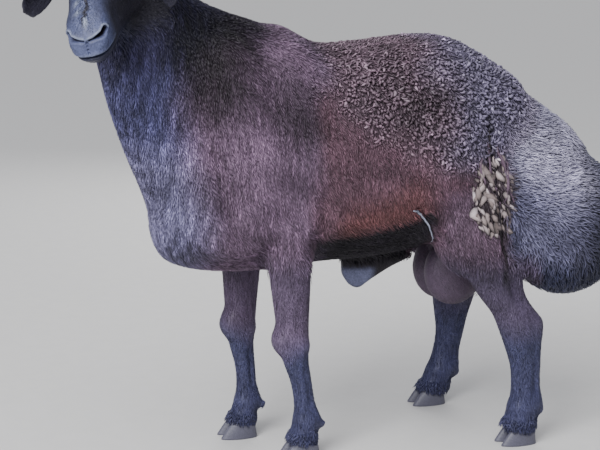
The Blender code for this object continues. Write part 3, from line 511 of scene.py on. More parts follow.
# Layers of colour, each over those before it: a tone, its strength, and what masks it,
# which is a named value as it is, or a ramp of it from nothing to all. soft_x, soft_z
# and soft_ahead are places with blotches added.
LAYERS = {
    "body": [
        (BARREL_TONE, 1.0),
        (RUST_TONE, 0.9, ("rust",), ("x", 0.03, 0.08), ("x", 0.26, 0.20)),
        (BEHIND_WITHERS_TONE, 1.0, ("z", 0.72, 0.79), ("x", 0.10, 0.02)),
        (SHOULDER_TONE, 1.0, ("soft_x", 0.030, -0.02)),
        (WITHERS_TONE, 1.0, ("z", 0.80, 0.87), ("x", -0.03, -0.09)),
        (CURLS_BACK_TONE, 1.0, ("curls",)),
        (CURLS_HIP_TONE, 1.0, ("curls",), ("soft_x", 0.20, 0.34)),
        (THIGH_TONE, 1.0, ("x", 0.24, 0.29), ("soft_z", 0.58, 0.54)),
        (BELLY_TONE, 1.0, ("belly", 0.008, -0.008), ("x", 0.005, 0.020), ("x", 0.272, 0.240)),
    ],
    "rump": [
        (RUMP_MID_TONE, 1.0),
        # the top of the lobes paler, partly painted light from above
        (RUMP_TOP_LIT_TONE, 1.0, ("slope", 0.47, 0.60)),
        (RUMP_MID_TONE, 0.45, ("x", 0.45, 0.39), ("z", 0.54, 0.62)),
        (RUMP_MID_TONE, 0.30, ("z", 0.63, 0.70)),
        # the underside and rear edge of the lobes darker, partly painted shade
        (RUMP_LOW_SHADE_TONE, 1.0, ("soft_z", 0.46, 0.36)),
        (RUMP_LOW_SHADE_TONE, 0.85, ("x", 0.545, 0.63)),
        # the cleft between the lobes darker: darker hair and painted shade
        (CLEFT_SHADE_TONE, 0.8, ("cleft",), ("x", 0.56, 0.60)),
    ],
    "neck": [
        # black neck hair with a painted blue reflection of the sky
        (NECK_MID_REFLECTION_TONE, 1.0),
        # painted shadow of the head over the top of the neck
        (NECK_TOP_SHADOW_TONE, 1.0, ("z", 0.74, 0.83)),
        # the lower neck and chest paler with painted sheen
        (CHEST_SHEEN_TONE, 1.0, ("z", 0.70, 0.58)),
    ],
    "legs": [
        (SHANK_TONE, 1.0),
        (FORELEG_HAIR_TONE, 1.0, ("fore",)),
        (CANNON_TONE, 1.0, ("soft_z", 0.28, 0.20)),
    ],
    "face": [
        (FACE_BACK_TONE, 1.0),
        # the front of the face paler and bluer, partly painted sheen
        (FACE_SHEEN_TONE, 1.0, ("soft_ahead", 0.10, 0.23)),
    ],
    "nose": [
        (WHORL_AND_HIGHLIGHT_TONE, 1.0, ("pale",)),
        (FACE_BACK_TONE, 0.92, ("parting",)),
        (LIPS_TONE, 0.92, ("lips",)),
        # painted highlights on the upper lip and on the upper edges of the nostrils
        (WHORL_AND_HIGHLIGHT_TONE, 0.35, ("lip_highlight",)),
        (WHORL_AND_HIGHLIGHT_TONE, 0.62, ("rim_highlights",)),
        (BELLY_TONE, 1.0, ("nostrils",)),
    ],
    "cheeks": [
        # painted shade on the flanks of the nose, on both sides
        (FACE_BACK_TONE, 0.85, ("aside", 0.024, 0.040), ("ahead", 0.268, 0.235)),
        (FACE_BACK_TONE, 0.40, ("aside", 0.006, 0.026), ("ahead", 0.285, 0.262)),
        (BELLY_TONE, 0.8, ("eye_right",)),
        (BELLY_TONE, 0.8, ("eye_left",)),
    ],
    "bare": [
        (BARE_TONE, 1.0),
        (BELLY_TONE, 1.0, ("x", 0.29, 0.26)),
        (SHEATH_TIP_TONE, 1.0, ("z", 0.372, 0.358), ("x", 0.185, 0.165), ("z", 0.318, 0.330)),
    ],
}

# Kinds of hair: length, half width and height in metres, how unruly, how streaky, and
# how pale from root to tip
# Each kind's shade darkens the roots as painted shade of the coat around them
TIPS = (0.75, 1.0, 1.08)
SHORT = dict(length=0.018, half=0.0010, height=0.0046, stray=0.16, streak=0.34, shade=TIPS)
DARK = dict(SHORT, streak=0.42)
ROUGH = dict(length=0.0065, half=0.0005, height=0.0016, stray=0.6, shade=(0.8, 1.0, 1.2))
SLEEK = dict(length=0.0105, half=0.0008, stations=2)
LEG = dict(SLEEK, height=0.0014, stray=0.10, streak=0.25, shade=(0.85, 1.15))
EAR = dict(SLEEK, height=0.0010, stray=0.15, shade=(0.9, 1.12))
BARE = dict(length=0.007, half=0.0005, height=0.0007, stations=2, shade=(0.9, 1.12))
FACE = dict(length=0.0085, half=0.0007, height=0.0009, stray=0.12, stations=2, shade=(0.95, 1.12))
FRINGE = dict(length=0.013, half=0.0012, height=0.0040, straight=True, shade=(0.7, 0.9, 1.0))
WAVY = dict(
    length=0.025, half=0.0013, height=0.0084, stations=5, wave=0.0017, stray=0.26,
    streak=0.26, shade=(0.80, 0.98, 1.08),
)
CURLY = dict(radius=0.0084, half=0.0031, height=0.0068, shade=(0.64, 0.88, 1.0, 1.14))
FIRST_SEED = 30
CORD_SEED = 60
BAKE_PATCH = 0.003


def shift_to_part():
    """How far the part's frame is from the animal's, from one foot's claws."""
    boxes = [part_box(f"hoof_foreleg_left_{side}") for side in ("outer", "inner")]
    foot = foot_centre("foreleg_left")
    low = [min(box[0][i] for box in boxes) for i in range(2)]
    high = [max(box[1][i] for box in boxes) for i in range(2)]
    return Vector(((low[0] + high[0]) / 2 - foot.x, (low[1] + high[1]) / 2 - foot.y, 0))


def link(obj):
    bpy.context.scene.collection.objects.link(obj)
    return obj


def add_mesh(name, bm):
    bmesh.ops.recalc_face_normals(bm, faces=bm.faces)
    mesh = bpy.data.meshes.new(name)
    bm.to_mesh(mesh)
    bm.free()
    return link(bpy.data.objects.new(name, mesh))


def settle(obj):
    """Applies an object's modifiers to its mesh."""
    bpy.context.view_layer.update()
    graph = bpy.context.evaluated_depsgraph_get()
    mesh = bpy.data.meshes.new_from_object(obj.evaluated_get(graph))
    obj.modifiers.clear()
    obj.data = mesh
    return obj


def modified(obj, kind, **settings):
    """An object with a modifier made and applied."""
    modifier = obj.modifiers.new(kind.lower(), kind)
    for name, value in settings.items():
        setattr(modifier, name, value)
    return settle(obj)


def loft(name, rings):
    """A closed skin over rings of points, capped at both ends."""
    bm = bmesh.new()
    rows = [[bm.verts.new(point) for point in ring] for ring in rings]
    for low, high in zip(rows, rows[1:]):
        for i in range(len(low)):
            j = (i + 1) % len(low)
            bm.faces.new((low[i], low[j], high[j], high[i]))
    bm.faces.new(rows[0])
    bm.faces.new(rows[-1])
    return add_mesh(name, bm)


def ball(name, radii, place, segments=32, rings=20):
    bm = bmesh.new()
    bmesh.ops.create_uvsphere(bm, u_segments=segments, v_segments=rings, radius=1.0)
    bmesh.ops.transform(bm, matrix=place @ Matrix.Diagonal((*radii, 1.0)), verts=bm.verts)
    return add_mesh(name, bm)


def mass(centre, radii, pitch=0):
    """An ellipsoid of flesh, pitched about the Y axis."""
    place = Matrix.Translation(centre) @ Matrix.Rotation(math.radians(pitch), 4, "Y")
    return ball("mass", radii, place)


def pair(centre, radii, pitch):
    """The same mass on the left and the right."""
    x, y, z = centre
    return [mass((x, side * y, z), radii, pitch) for side in SIDES]


def spline(rows, steps=SPAN_STEPS):
    """Rows on a Catmull-Rom curve through the given rows."""
    rows = np.array(rows, dtype=float)
    ends = np.vstack([2 * rows[0] - rows[1], rows, 2 * rows[-1] - rows[-2]])
    out = []
    for a, b, c, d in zip(ends, ends[1:], ends[2:], ends[3:]):
        bend, twist = 2 * a - 5 * b + 4 * c - d, 3 * b - a - 3 * c + d
        for t in np.linspace(0, 1, steps, endpoint=False):
            out.append(0.5 * (2 * b + (c - a) * t + bend * t * t + twist * t**3))
    return out + [rows[-1]]


def bezier(marks, t):
    """The point at share t of the curve that its marks pull."""
    while len(marks) > 1:
        marks = [a.lerp(b, t) for a, b in zip(marks, marks[1:])]
    return marks[0]


def bent(value, power):
    """A sine or cosine made squarer or rounder by a power."""
    return math.copysign(abs(value) ** power, value)


def turns(count=RING_SIDES):
    """Angles evenly round a circle."""
    return [2 * math.pi * i / count for i in range(count)]


def upright_ring(x, top, under, half, widest, power):
    """A ring across the body, in the plane of y and z."""
    middle = under + (top - under) * widest
    ring = []
    for angle in turns():
        up, out = bent(math.sin(angle), power), bent(math.cos(angle), power)
        reach = top - middle if up > 0 else middle - under
        ring.append((x, out * half, middle + up * reach))
    return ring


def upright_loft(stations, widest, power):
    """A form through upright rings at stations of x, top, underside and half width."""
    return loft("form", [upright_ring(*row, widest, power) for row in spline(stations)])


def torso_pieces():
    pieces = [upright_loft(TORSO, *TORSO_SECTION)]
    for sizes in TORSO_MASSES.values():
        pieces += pair(*sizes)
    return pieces


def leg_side(name):
    return -1 if name.endswith("left") else 1


def leg_rows(name):
    return FORELEG if name.startswith("fore") else HINDLEG


def leg_shift(name, height):
    slope, at_floor = LEAN[name]
    return at_floor + slope * height


def leg_pieces(name):
    rows = leg_rows(name)
    side, spread = leg_side(name), SIDE_SHIFT[name]
    rings = []
    for z, x, half_long, y, half_wide in spline(rows):
        x += leg_shift(name, z)
        y = side * (y + spread * (1 - z / rows[0][0]))
        ring = [(x + half_long * math.cos(t), y + half_wide * math.sin(t), z) for t in turns()]
        rings.append(ring)
    pieces = [loft("leg_form", rings)]
    fetlock_z, fetlock_x, _, fetlock_y, _ = rows[-3]
    back = fetlock_x + leg_shift(name, fetlock_z) + DEWCLAW_BACK
    for across in (-DEWCLAW_APART, DEWCLAW_APART):
        centre = (back, side * (fetlock_y + spread) + across, DEWCLAW_HEIGHT)
        pieces.append(mass(centre, DEWCLAW_RADII, DEWCLAW_PITCH))
    return pieces


def foot_centre(name):
    _, x, _, y, _ = leg_rows(name)[-1]
    return Vector((x + leg_shift(name, 0), leg_side(name) * (y + SIDE_SHIFT[name]), 0))


def head_matrix():
    """From the head's own axes (nose, left, crown) to the animal's."""
    yaw, pitch, tilt = (math.radians(a) for a in (HEAD_YAW, HEAD_PITCH, HEAD_TILT))
    ahead = Vector((-math.cos(yaw), -math.sin(yaw), 0))
    up = Vector((0, 0, 1))
    left = up.cross(ahead)
    nose = ahead * math.cos(pitch) - up * math.sin(pitch)
    crown = nose.cross(left)
    roll = Matrix.Rotation(tilt, 3, ahead)
    axes = Matrix([roll @ nose, roll @ left, roll @ crown]).transposed()
    return Matrix.Translation(POLL) @ axes.to_4x4()


def head_pieces():
    """The masses of the head, moved from its own axes to their place."""
    pieces = [upright_loft(HEAD, *HEAD_SECTION)]
    pieces += [mass(*sizes) for sizes in HEAD_MASSES.values()]
    for sizes in HEAD_SIDE_MASSES.values():
        pieces += pair(*sizes)
    for piece in pieces:
        piece.data.transform(head_matrix())
    return pieces


def eye_frame(side):
    """Axes of an eye: along its opening, across it and out of the head."""
    x, y, z = EYE_PLACE
    out = Vector((EYE_FACING[0], side * EYE_FACING[1], EYE_FACING[2])).normalized()
    slant = math.radians(EYE_SLANT)
    along = Vector((math.cos(slant), 0, -math.sin(slant)))
    along = (along - out * along.dot(out)).normalized()
    axes = Matrix([along, out.cross(along), out]).transposed()
    return head_matrix() @ Matrix.Translation((x, side * y, z)) @ axes.to_4x4()


def eye_gap(local, side):
    """Distance to the middle of an eye, in the head's axes."""
    eye = np.array(head_matrix().inverted() @ eye_frame(side).translation)
    return np.linalg.norm(local - eye, axis=1)


def neck_piece():
    rings = []
    for front_x, front_z, back_x, back_z, half, y, turn in spline(NECK):
        front, back = Vector((front_x, y, front_z)), Vector((back_x, y, back_z))
        twist = Matrix.Rotation(math.radians(turn), 3, "Z")
        centre, along = (front + back) / 2, twist @ (front - back) / 2
        across = twist @ Vector((0, half, 0))
        rings.append([centre + along * math.cos(t) + across * math.sin(t) for t in turns()])
    return loft("neck_form", rings)


def levelled(vector):
    return Vector((vector.x, vector.y, 0)).normalized()


def ear_axes(side):
    """Marks that pull an ear's middle line, and the way its back faces."""
    head = head_matrix()
    x, y, z = EAR_ROOT
    root = head @ Vector((x, side * y, z))
    turn = head.to_3x3()
    outward = levelled(turn @ Vector((0, side, 0)))
    forward = levelled(turn @ Vector((1, 0, 0)))
    tip = root + outward * EAR_OUT + forward * EAR_FORWARD - Vector((0, 0, EAR_DROP))
    marks = [
        root - outward * EAR_SUNK,
        root + outward * EAR_LIFT,
        tip - outward * EAR_FLARE + Vector((0, 0, EAR_DROP / 3)),
        tip,
    ]
    return marks, outward * 0.8 - forward * 0.6


def ear_piece(side):
    """A long drooping ear: a leaf of cupped skin."""
    marks, facing = ear_axes(side)
    bm = bmesh.new()
    rows = []
    for i in range(EAR_ROWS):
        t = i / (EAR_ROWS - 1)
        point = bezier(marks, t)
        along = bezier([b - a for a, b in zip(marks, marks[1:])], t).normalized()
        back = (facing - along * facing.dot(along)).normalized()
        across = along.cross(back)
        half = np.interp(t, np.linspace(0, 1, len(EAR_HALF_WIDTHS)), EAR_HALF_WIDTHS)
        arc = math.radians(EAR_CUP[0] * (1 - t) ** 1.5 + EAR_CUP[1] * (1 - (1 - t) ** 1.5))
        radius = half / math.sin(min(arc, math.pi) / 2)
        row = []
        for j in range(EAR_COLUMNS):
            angle = arc * (j / (EAR_COLUMNS - 1) - 0.5)
            offset = across * math.sin(angle) + back * (math.cos(angle) - math.cos(arc / 2))
            row.append(bm.verts.new(point + offset * radius))
        rows.append(row)
    for a, b in zip(rows, rows[1:]):
        for j in range(EAR_COLUMNS - 1):
            bm.faces.new((a[j], a[j + 1], b[j + 1], b[j]))
    return modified(add_mesh("ear", bm), "SOLIDIFY", thickness=EAR_THICKNESS, offset=0)


def tail_piece():
    root, tip = Vector(TAIL_ROOT), Vector(TAIL_TIP)
    along = (tip - root).normalized()
    out = Vector((-along.z, 0, along.x))
    rings = []
    for i in range(TAIL_STEPS + 1):
        t = i / TAIL_STEPS
        half = TAIL_HALF_WIDTH * math.sqrt(max(0.03, 1 - t**3)) * (1 - 0.25 * t)
        centre = root + (tip - root) * t + out * (0.010 * math.sin(math.pi * t))
        rings.append([
            centre + Vector((0, half * math.cos(a), 0)) + out * (0.8 * half * math.sin(a))
            for a in turns(TAIL_SIDES)
        ])
    return loft("tail_form", rings)


def pull(items, what, width, kind=np.int32):
    """A value of each of a mesh's items, as rows of an array."""
    values = np.empty(len(items) * width, kind)
    items.foreach_get(what, values)
    return values.reshape(-1, width)


def read(mesh, what="co"):
    return pull(mesh.vertices, what, 3, np.float32).astype(np.float64)


def write(mesh, places):
    mesh.vertices.foreach_set("co", places.astype(np.float32).ravel())
    mesh.update()


def paint(mesh, colours):
    """Gives every point of a mesh its tint."""
    full = np.ones((len(mesh.vertices), 4), np.float32)
    full[:, :3] = colours.reshape(-1, 3)
    layer = mesh.color_attributes.new("tint", "FLOAT_COLOR", "POINT")
    layer.data.foreach_set("color", full.ravel())


def smoothed(mesh, weight, rounds):
    """A mesh's places moved again and again towards the middle of their neighbours."""
    places, edges = read(mesh), pull(mesh.edges, "vertices", 2)
    count = len(places)
    both = np.concatenate([edges[:, 0], edges[:, 1]])
    other = np.concatenate([edges[:, 1], edges[:, 0]])
    valence = np.maximum(np.bincount(both, minlength=count), 1)
    for _ in range(rounds):
        sums = [np.bincount(both, places[other, i], count) / valence for i in range(3)]
        places = places + (0.5 * weight)[:, None] * (np.stack(sums, axis=1) - places)
    return places


def ramp(values, start, end):
    """0 at start and 1 at end, with soft ends."""
    t = np.clip((values - start) / (end - start), 0, 1)
    return t * t * (3 - 2 * t)


def bump(values, centre, width):
    """1 at the centre, fading to 0 on both sides."""
    return np.exp(-(((values - centre) / width) ** 2))


def inside(values, box):
    """The product of a soft box's ramps, one for each of the values."""
    share = 1.0
    for value, span in zip(values, box):
        share = share * ramp(value, *span)
    return share


def unit(vectors):
    return vectors / np.maximum(np.linalg.norm(vectors, axis=-1, keepdims=True), 1e-9)


def dot(a, b):
    return (a * b).sum(-1, keepdims=True)


def ripple(places, size, seed):
    """A smooth random field about 0, with blotches of the given size."""
    rng = np.random.default_rng(seed)
    waves = unit(rng.normal(size=(9, 3))) * (2 * math.pi / size * rng.uniform(0.4, 1.0, (9, 1)))
    return np.sin(places @ waves.T + rng.uniform(0, 6.28, 9)).sum(1) / 3


def mixed(values, other, share):
    return values + (np.array(other) - values) * share[:, None]


def to_head(places):
    """Places in the head's own axes: nose, left, crown."""
    back = np.array(head_matrix().inverted())
    return places @ back[:3, :3].T + back[:3, 3]


def head_share(places):
    """1 on the head and 0 on the neck."""
    local = to_head(places)
    ahead, aside, up = local[:, 0], np.abs(local[:, 1]), local[:, 2]
    back_x, back_z = HEAD_FLOOR[0][0], HEAD_FLOOR[1][0]
    above = up - np.interp(ahead, *HEAD_FLOOR)
    above = np.minimum(above, (ahead - back_x) + 0.5 * (up - back_z))
    near = (places[:, 2] > 0.76) & (places[:, 0] < -0.26) & (aside < 0.20)
    return ramp(above, -0.020, 0.030) * near


def ear_share(places):
    """1 on the ears, with a soft start at their roots."""
    share = np.zeros(len(places))
    near = (places[:, 2] > 0.84) & (places[:, 0] < -0.24)
    picked = places[near]
    for side in SIDES:
        marks, _ = ear_axes(side)
        gap, _ = path_gap(picked, [bezier(marks, t) for t in np.linspace(0.12, 1, 16)])
        out = side * to_head(picked)[:, 1]
        share[near] = np.maximum(share[near], ramp(gap, 0.050, 0.036) * ramp(out, 0.066, 0.082))
    return share


def leg_place(name, places):
    """Where places lie across a leg, in shares of its half length and width."""
    rows = np.array(leg_rows(name))[::-1]
    x, y, z = places.T
    at_x, half_long, at_y, half_wide = (np.interp(z, rows[:, 0], rows[:, i]) for i in (1, 2, 3, 4))
    spread = SIDE_SHIFT[name] * (1 - z / rows[-1, 0])
    middle_x = at_x + leg_shift(name, z)
    middle_y = leg_side(name) * (at_y + spread)
    return (x - middle_x) / half_long, (y - middle_y) / half_wide


def leg_share(places):
    """1 on the legs below the elbow and the stifle."""
    share = np.zeros(len(places))
    for name in LEAN:
        away = np.hypot(*leg_place(name, places))
        top = LEG_TOP[name[:4]]
        leg = ramp(away, 1.80, 1.35) * ramp(places[:, 2], top + 0.035, top - 0.045)
        share = np.maximum(share, leg)
    return share


def neck_share(places):
    """1 on the neck and the chest, and 0 from the shoulder back."""
    line = np.interp(places[:, 2], *zip(*NECK_EDGE))
    return ramp(line - places[:, 0], -0.05, 0.05)


def curl_share(places):
    """1 where the back and the hip carry curls."""
    x, _, z = places.T
    edge = np.interp(x, *zip(*CURL_EDGE))
    ragged = 0.014 * ripple(places, 0.05, 24)
    share = ramp(z - edge + ragged, -0.045, 0.045) * ramp(x + ragged, -0.030, 0.090)
    return share * (1 - wave_share(places))


def wave_share(places):
    """1 on the two lobes of the rump."""
    x, _, z = places.T
    soft = 0.012 + 0.040 * ramp(z, 0.60, 0.68)
    behind = x - np.interp(z, *zip(*LOBE_FRONT)) + 0.2 * soft * ripple(places, 0.04, 27)
    lobe = ramp(behind, -soft * 0.6, soft * 1.5) * ramp(z, 0.27, 0.29)
    return lobe * (1 - leg_share(places))


def bare_share(places):
    """1 on the scrotum, the sheath and the skin between the thighs."""
    x, y, z = places.T
    values = (np.abs(y), z, x, x)
    share = np.maximum(inside(values, SAC_BOX), inside(values, SHEATH_BOX))
    return share * (1 - leg_share(places))


def tail_share(places):
    x, y, z = places.T
    return inside((np.abs(y), x, z), TAIL_BOX)


def mat_share(places):
    """1 on the matted patch under the hip."""
    middle_x, middle_z, long_half, high_half = MAT
    away = np.hypot((places[:, 0] - middle_x) / long_half, (places[:, 2] - middle_z) / high_half)
    return ramp(away + 0.10 * ripple(places, 0.02, 25), 1.10, 0.90) * (np.abs(places[:, 1]) > 0.08)


def coat_depth(places):
    """How far the skin lies inside the outline of the coat."""
    depth = np.full(len(places), BODY_DEPTH)
    depth += CURL_DEPTH * curl_share(places) + WAVE_DEPTH * wave_share(places)
    depth -= HIP_RISE * bump(places[:, 0], 0.468, 0.045) * ramp(places[:, 2], 0.66, 0.71)
    for share_of, other in THIN_DEPTHS:
        share = share_of(places)
        depth = depth * (1 - share) + other * share
    return depth


THIN_DEPTHS = [
    (leg_share, 0.0012),
    (head_share, 0.0006),
    (ear_share, 0.0005),
    (bare_share, 0.0010),
]


def along_line(marks, count=40):
    """Evenly shared points on a line through marks."""
    marks = np.array(marks)
    steps = np.linspace(0, len(marks) - 1, count)
    return np.stack([np.interp(steps, range(len(marks)), column) for column in marks.T], axis=1)


def path_gap(local, path):
    """Distance to a line of points, and the share along it of the nearest."""
    path = np.array(path)
    gap = np.sqrt(((local[:, None] - path[None]) ** 2).sum(2))
    return gap.min(1), gap.argmin(1) / (len(path) - 1)


def sculpt_body(places, normals):
    """Sinks the creases between the muscles and raises what stands out."""
    flat = places[:, (0, 2)]
    push = np.zeros(len(places))
    for marks, half, deep in CREASES:
        gap, share = path_gap(flat, along_line(marks))
        push -= deep * bump(gap, 0, half) * ramp(share, -0.02, 0.18) * ramp(share, 1.02, 0.80)
    for x, z, half, high in SWELLS:
        push += high * np.exp(-((flat - np.array((x, z))) ** 2).sum(1) / half**2)
    outward = normals[:, 1] * np.sign(places[:, 1])
    push *= ramp(outward, 0.05, 0.45) * (1 - leg_share(places)) * (np.abs(places[:, 1]) > 0.04)
    return places + normals * push[:, None]


def sculpt_legs(places, normals):
    """Sinews, knees, hocks and fetlocks on the four legs."""
    z = places[:, 2]
    push = np.zeros(len(places))
    for name in LEAN:
        along, across = leg_place(name, places)
        near = np.hypot(along, across) < 1.6
        flank = ramp(np.abs(across), 0.35, 0.75) * near
        front, back = ramp(-along, 0.3, 0.8) * near, ramp(along, 0.3, 0.8) * near
        top = SINEW_TOP[name[:4]]
        sinew = ramp(z, 0.095, 0.125) * ramp(z, top, top - 0.03)
        sides = dict(front=front, back=back, flank=flank)
        sides.update(sinew=flank * sinew, round=front + 0.5 * flank)
        for legs, high, side, spot, level in LEG_MARKS:
            if legs in name:
                push += high * bump(along, *spot) * bump(z, *level) * sides[side]
    return places + normals * push[:, None]


def coronet_height(x, front):
    """The height of the claws' upper edge at places behind their tips."""
    return CORONET_FRONT + (CORONET_BACK - CORONET_FRONT) * (x - front) / CLAW_LENGTH


def tuck_feet(places):
    """Draws what lies under the coronets in, so that the claws hide it."""
    places = places.copy()
    for name in LEAN:
        centre = foot_centre(name)
        top = coronet_height(places[:, 0], centre.x - CLAW_LENGTH / 2)
        near = (np.hypot(*leg_place(name, places)) < 1.8) & (places[:, 2] < 0.06)
        low = ramp(places[:, 2] - top, 0.0015, -0.0035) * near
        places[:, 0] += (centre.x + 0.008 - places[:, 0]) * 0.38 * low
        places[:, 1] += (centre.y - places[:, 1]) * 0.26 * low
        places[:, 2] = np.where(low > 0.5, np.maximum(places[:, 2], 0.010), places[:, 2])
    return places


def refined(mesh, chosen):
    """Splits the faces whose points are chosen into four."""
    bm = bmesh.new()
    bm.from_mesh(mesh)
    bm.verts.ensure_lookup_table()
    edges = [e for e in bm.edges if chosen[e.verts[0].index] and chosen[e.verts[1].index]]
    bmesh.ops.subdivide_edges(bm, edges=edges, cuts=1, use_grid_fill=True)
    bm.to_mesh(mesh)
    bm.free()


def nostril_gap(local, side):
    """Distance to a nostril, its half width there, the share along it, how far above it
    a place is, and whether it counts."""
    mirror = (1, side, 1)
    path = along_line(np.array(NOSTRIL) * mirror, 28)
    inward = unit(np.array(NOSTRIL_WAY) * mirror)
    gap, share = path_gap(local - dot(local, inward) * inward, path - dot(path, inward) * inward)
    wide = NOSTRIL_HALF[0] + NOSTRIL_HALF[1] * ramp(share, *NOSTRIL_WIDENS)
    off = local - path[np.rint(share * 27).astype(int)]
    over = ramp(off[:, 2] - 0.6 * off[:, 0], -0.002, 0.003)
    facing = (local[:, 0] > 0.225) & (side * local[:, 1] > -0.003) & (local[:, 2] > -0.075)
    return gap, wide, share, over, facing * 1.0


def sculpt_nostril(local, side):
    """A comma that opens outwards and up, under a raised rim."""
    gap, wide, share, over, facing = nostril_gap(local, side)
    deep = 0.0140 * ramp(gap, wide * 1.35, wide * 0.40) * ramp(share, -0.10, 0.12) * facing
    rim = (0.0036 * over + 0.0010 * (1 - over)) * bump(gap, wide + 0.0034, 0.0024) * facing
    wing = 0.0036 * bump(gap, 0, 0.014) * bump(share, 0.72, 0.28) * facing
    return (rim + wing - deep)[:, None] * -np.array(NOSTRIL_WAY) * (1, side, 1)


def mouth_height(local):
    """How far places lie above the line of the mouth, and how near its corners."""
    corner_x, corner_y, corner_z = MOUTH_CORNER
    reach = MOUTH_FRONT - corner_x
    turn = np.arctan2(local[:, 1] / corner_y, (local[:, 0] - corner_x) / reach)
    ahead = np.maximum(np.cos(turn), 0)
    return local[:, 2] - (corner_z + (MOUTH_HEIGHT - corner_z) * ahead**0.7), np.abs(turn)


def sculpt_face(places):
    """Cuts the nostrils, mouth and philtrum and lays the lids over the eyes."""
    local = to_head(places)
    x, y, z = local.T
    side = np.sign(y)
    muzzle = ramp(x, 0.200, 0.225)
    push = sculpt_nostril(local, 1) + sculpt_nostril(local, -1)
    groove = bump(y, 0, 0.0016) * inside((z, z, x), PHILTRUM_BOX)
    push[:, 0] -= (0.0022 + 0.0012 * np.sin(z / 0.0009)) * groove
    above, turn = mouth_height(local)
    fade = ramp(turn, 1.45, 1.05) * muzzle
    out = np.stack([np.cos(turn) + 0.2, side * np.sin(turn) * 0.9, 0 * x], axis=1)
    lips = 0.0028 * bump(above, 0.0058, 0.0042) + 0.0022 * bump(above, -0.0062, 0.0040)
    push += (fade * (lips - 0.0100 * bump(above, 0, 0.0017)))[:, None] * out
    cheek = 0.0034 * bump(above, 0.018, 0.011) * bump(turn, 0.62, 0.35) * muzzle
    for high, spot, level, (slope, pivot), aside in CHEEK_MARKS:
        mark = bump(z - slope * (x - pivot), *level) * bump(x, *spot)
        cheek += high * mark * ramp(np.abs(y), *aside)
    push[:, 1] += side * cheek
    push[:, 2] += 0.0016 * bump(y, 0, 0.006) * bump(x, 0.19, 0.06) * ramp(z, -0.03, -0.01)
    local = local + push
    for side in SIDES:
        local = lay_lids(local, side)
    head = np.array(head_matrix())
    return local @ head[:3, :3].T + head[:3, 3]


def lay_lids(local, side):
    """Opens an eye with two lids and the folds round it."""
    frame_of = head_matrix().inverted() @ eye_frame(side)
    turn, centre = np.array(frame_of.to_3x3()), np.array(frame_of.translation)
    eye = (local - centre) @ turn
    along, across, out = eye.T
    reach = np.hypot(along, across)
    near = (reach < 0.034) & (out > -0.004)
    long_half, high_half = EYE_OPENING
    across_now = across + 0.0004 - 0.0010 * (1 - (along / long_half) ** 2)
    ratio = np.sqrt((along / long_half) ** 2 + (across_now / high_half) ** 2)
    dome = np.sqrt(np.maximum((EYE_RADIUS + LID_THICKNESS) ** 2 - reach**2, 0))
    blend = ramp(ratio, 3.1, 1.5)
    covered = out * (1 - blend) + np.maximum(dome, out - 0.004) * blend
    upper = ramp(across_now, -0.001, 0.003)
    covered += 0.0010 * bump(ratio, 1.24, 0.16) + 0.0014 * bump(ratio, 1.50, 0.22) * upper
    covered -= (0.0014 + 0.0010 * upper) * bump(ratio, 2.05, 0.20)
    floor = np.sqrt(np.maximum((EYE_RADIUS - EYE_SUNK) ** 2 - reach**2, 0))
    opened = ramp(ratio, 1.06, 0.94)
    covered = covered * (1 - opened) + floor * opened
    covered -= 0.0030 * bump(along, long_half + 0.003, 0.004) * bump(across, -0.0015, 0.0022)
    eye[:, 2] = np.where(near, covered, out)
    return eye @ turn.T + centre


def build_skin():
    """All the flesh as one fine surface, a coat's depth inside the solids."""
    pieces = torso_pieces()
    pieces += [neck_piece(), tail_piece(), upright_loft(SHEATH, *SHEATH_SECTION)]
    pieces += head_pieces() + pair(*SCROTUM_MASS) + [mass(*SCROTUM_NECK)]
    pieces += [ear_piece(1), ear_piece(-1)]
    for name in LEAN:
        pieces += leg_pieces(name)
    bm = bmesh.new()
    for piece in pieces:
        bm.from_mesh(piece.data)
        bpy.data.objects.remove(piece)
    skin = modified(add_mesh("skin", bm), "REMESH", mode="VOXEL", voxel_size=VOXEL)
    mesh = skin.data
    places = read(mesh)
    weight = np.where(places[:, 2] < 0.36, 0.45, 1.0)
    weight *= 1 - 0.93 * ear_share(places)
    weight *= 1 - 0.65 * bare_share(places)
    places = smoothed(mesh, weight, SMOOTHING)
    write(mesh, places)
    write(mesh, sculpt_body(places, read(mesh, "normal")))
    write(mesh, sculpt_legs(read(mesh), read(mesh, "normal")))
    places = read(mesh)
    write(mesh, places - read(mesh, "normal") * coat_depth(places)[:, None])
    write(mesh, tuck_feet(read(mesh)))
    local = to_head(read(mesh))
    near = (local[:, 0] > -0.03) & (np.abs(local[:, 1]) < 0.085)
    refined(mesh, near & (head_share(read(mesh)) > 0.6))
    local = to_head(read(mesh))
    muzzle = (local[:, 0] > 0.205) & (np.abs(local[:, 1]) < 0.06) & (local[:, 2] > -0.14)
    refined(mesh, muzzle | (eye_gap(local, -1) < 0.030) | (eye_gap(local, 1) < 0.030))
    places = smoothed(mesh, (head_share(read(mesh)) > 0.5) * 1.0, 3)
    near = head_share(places) > 0.5
    places[near] = sculpt_face(places[near])
    write(mesh, places)
    modified(skin, "DECIMATE", ratio=min(1.0, SKIN_TRIANGLES / (2 * len(mesh.polygons))))
    skin.data.shade_smooth()
    return skin


def layered(colour, layers, values):
    """A colour with the layers of a table laid over it."""
    for tone, strength, *masks in layers:
        share = np.full(len(colour), strength)
        for name, *span in masks:
            share = share * (ramp(values[name], *span) if span else values[name])
        colour = mixed(colour, tone, share)
    return colour


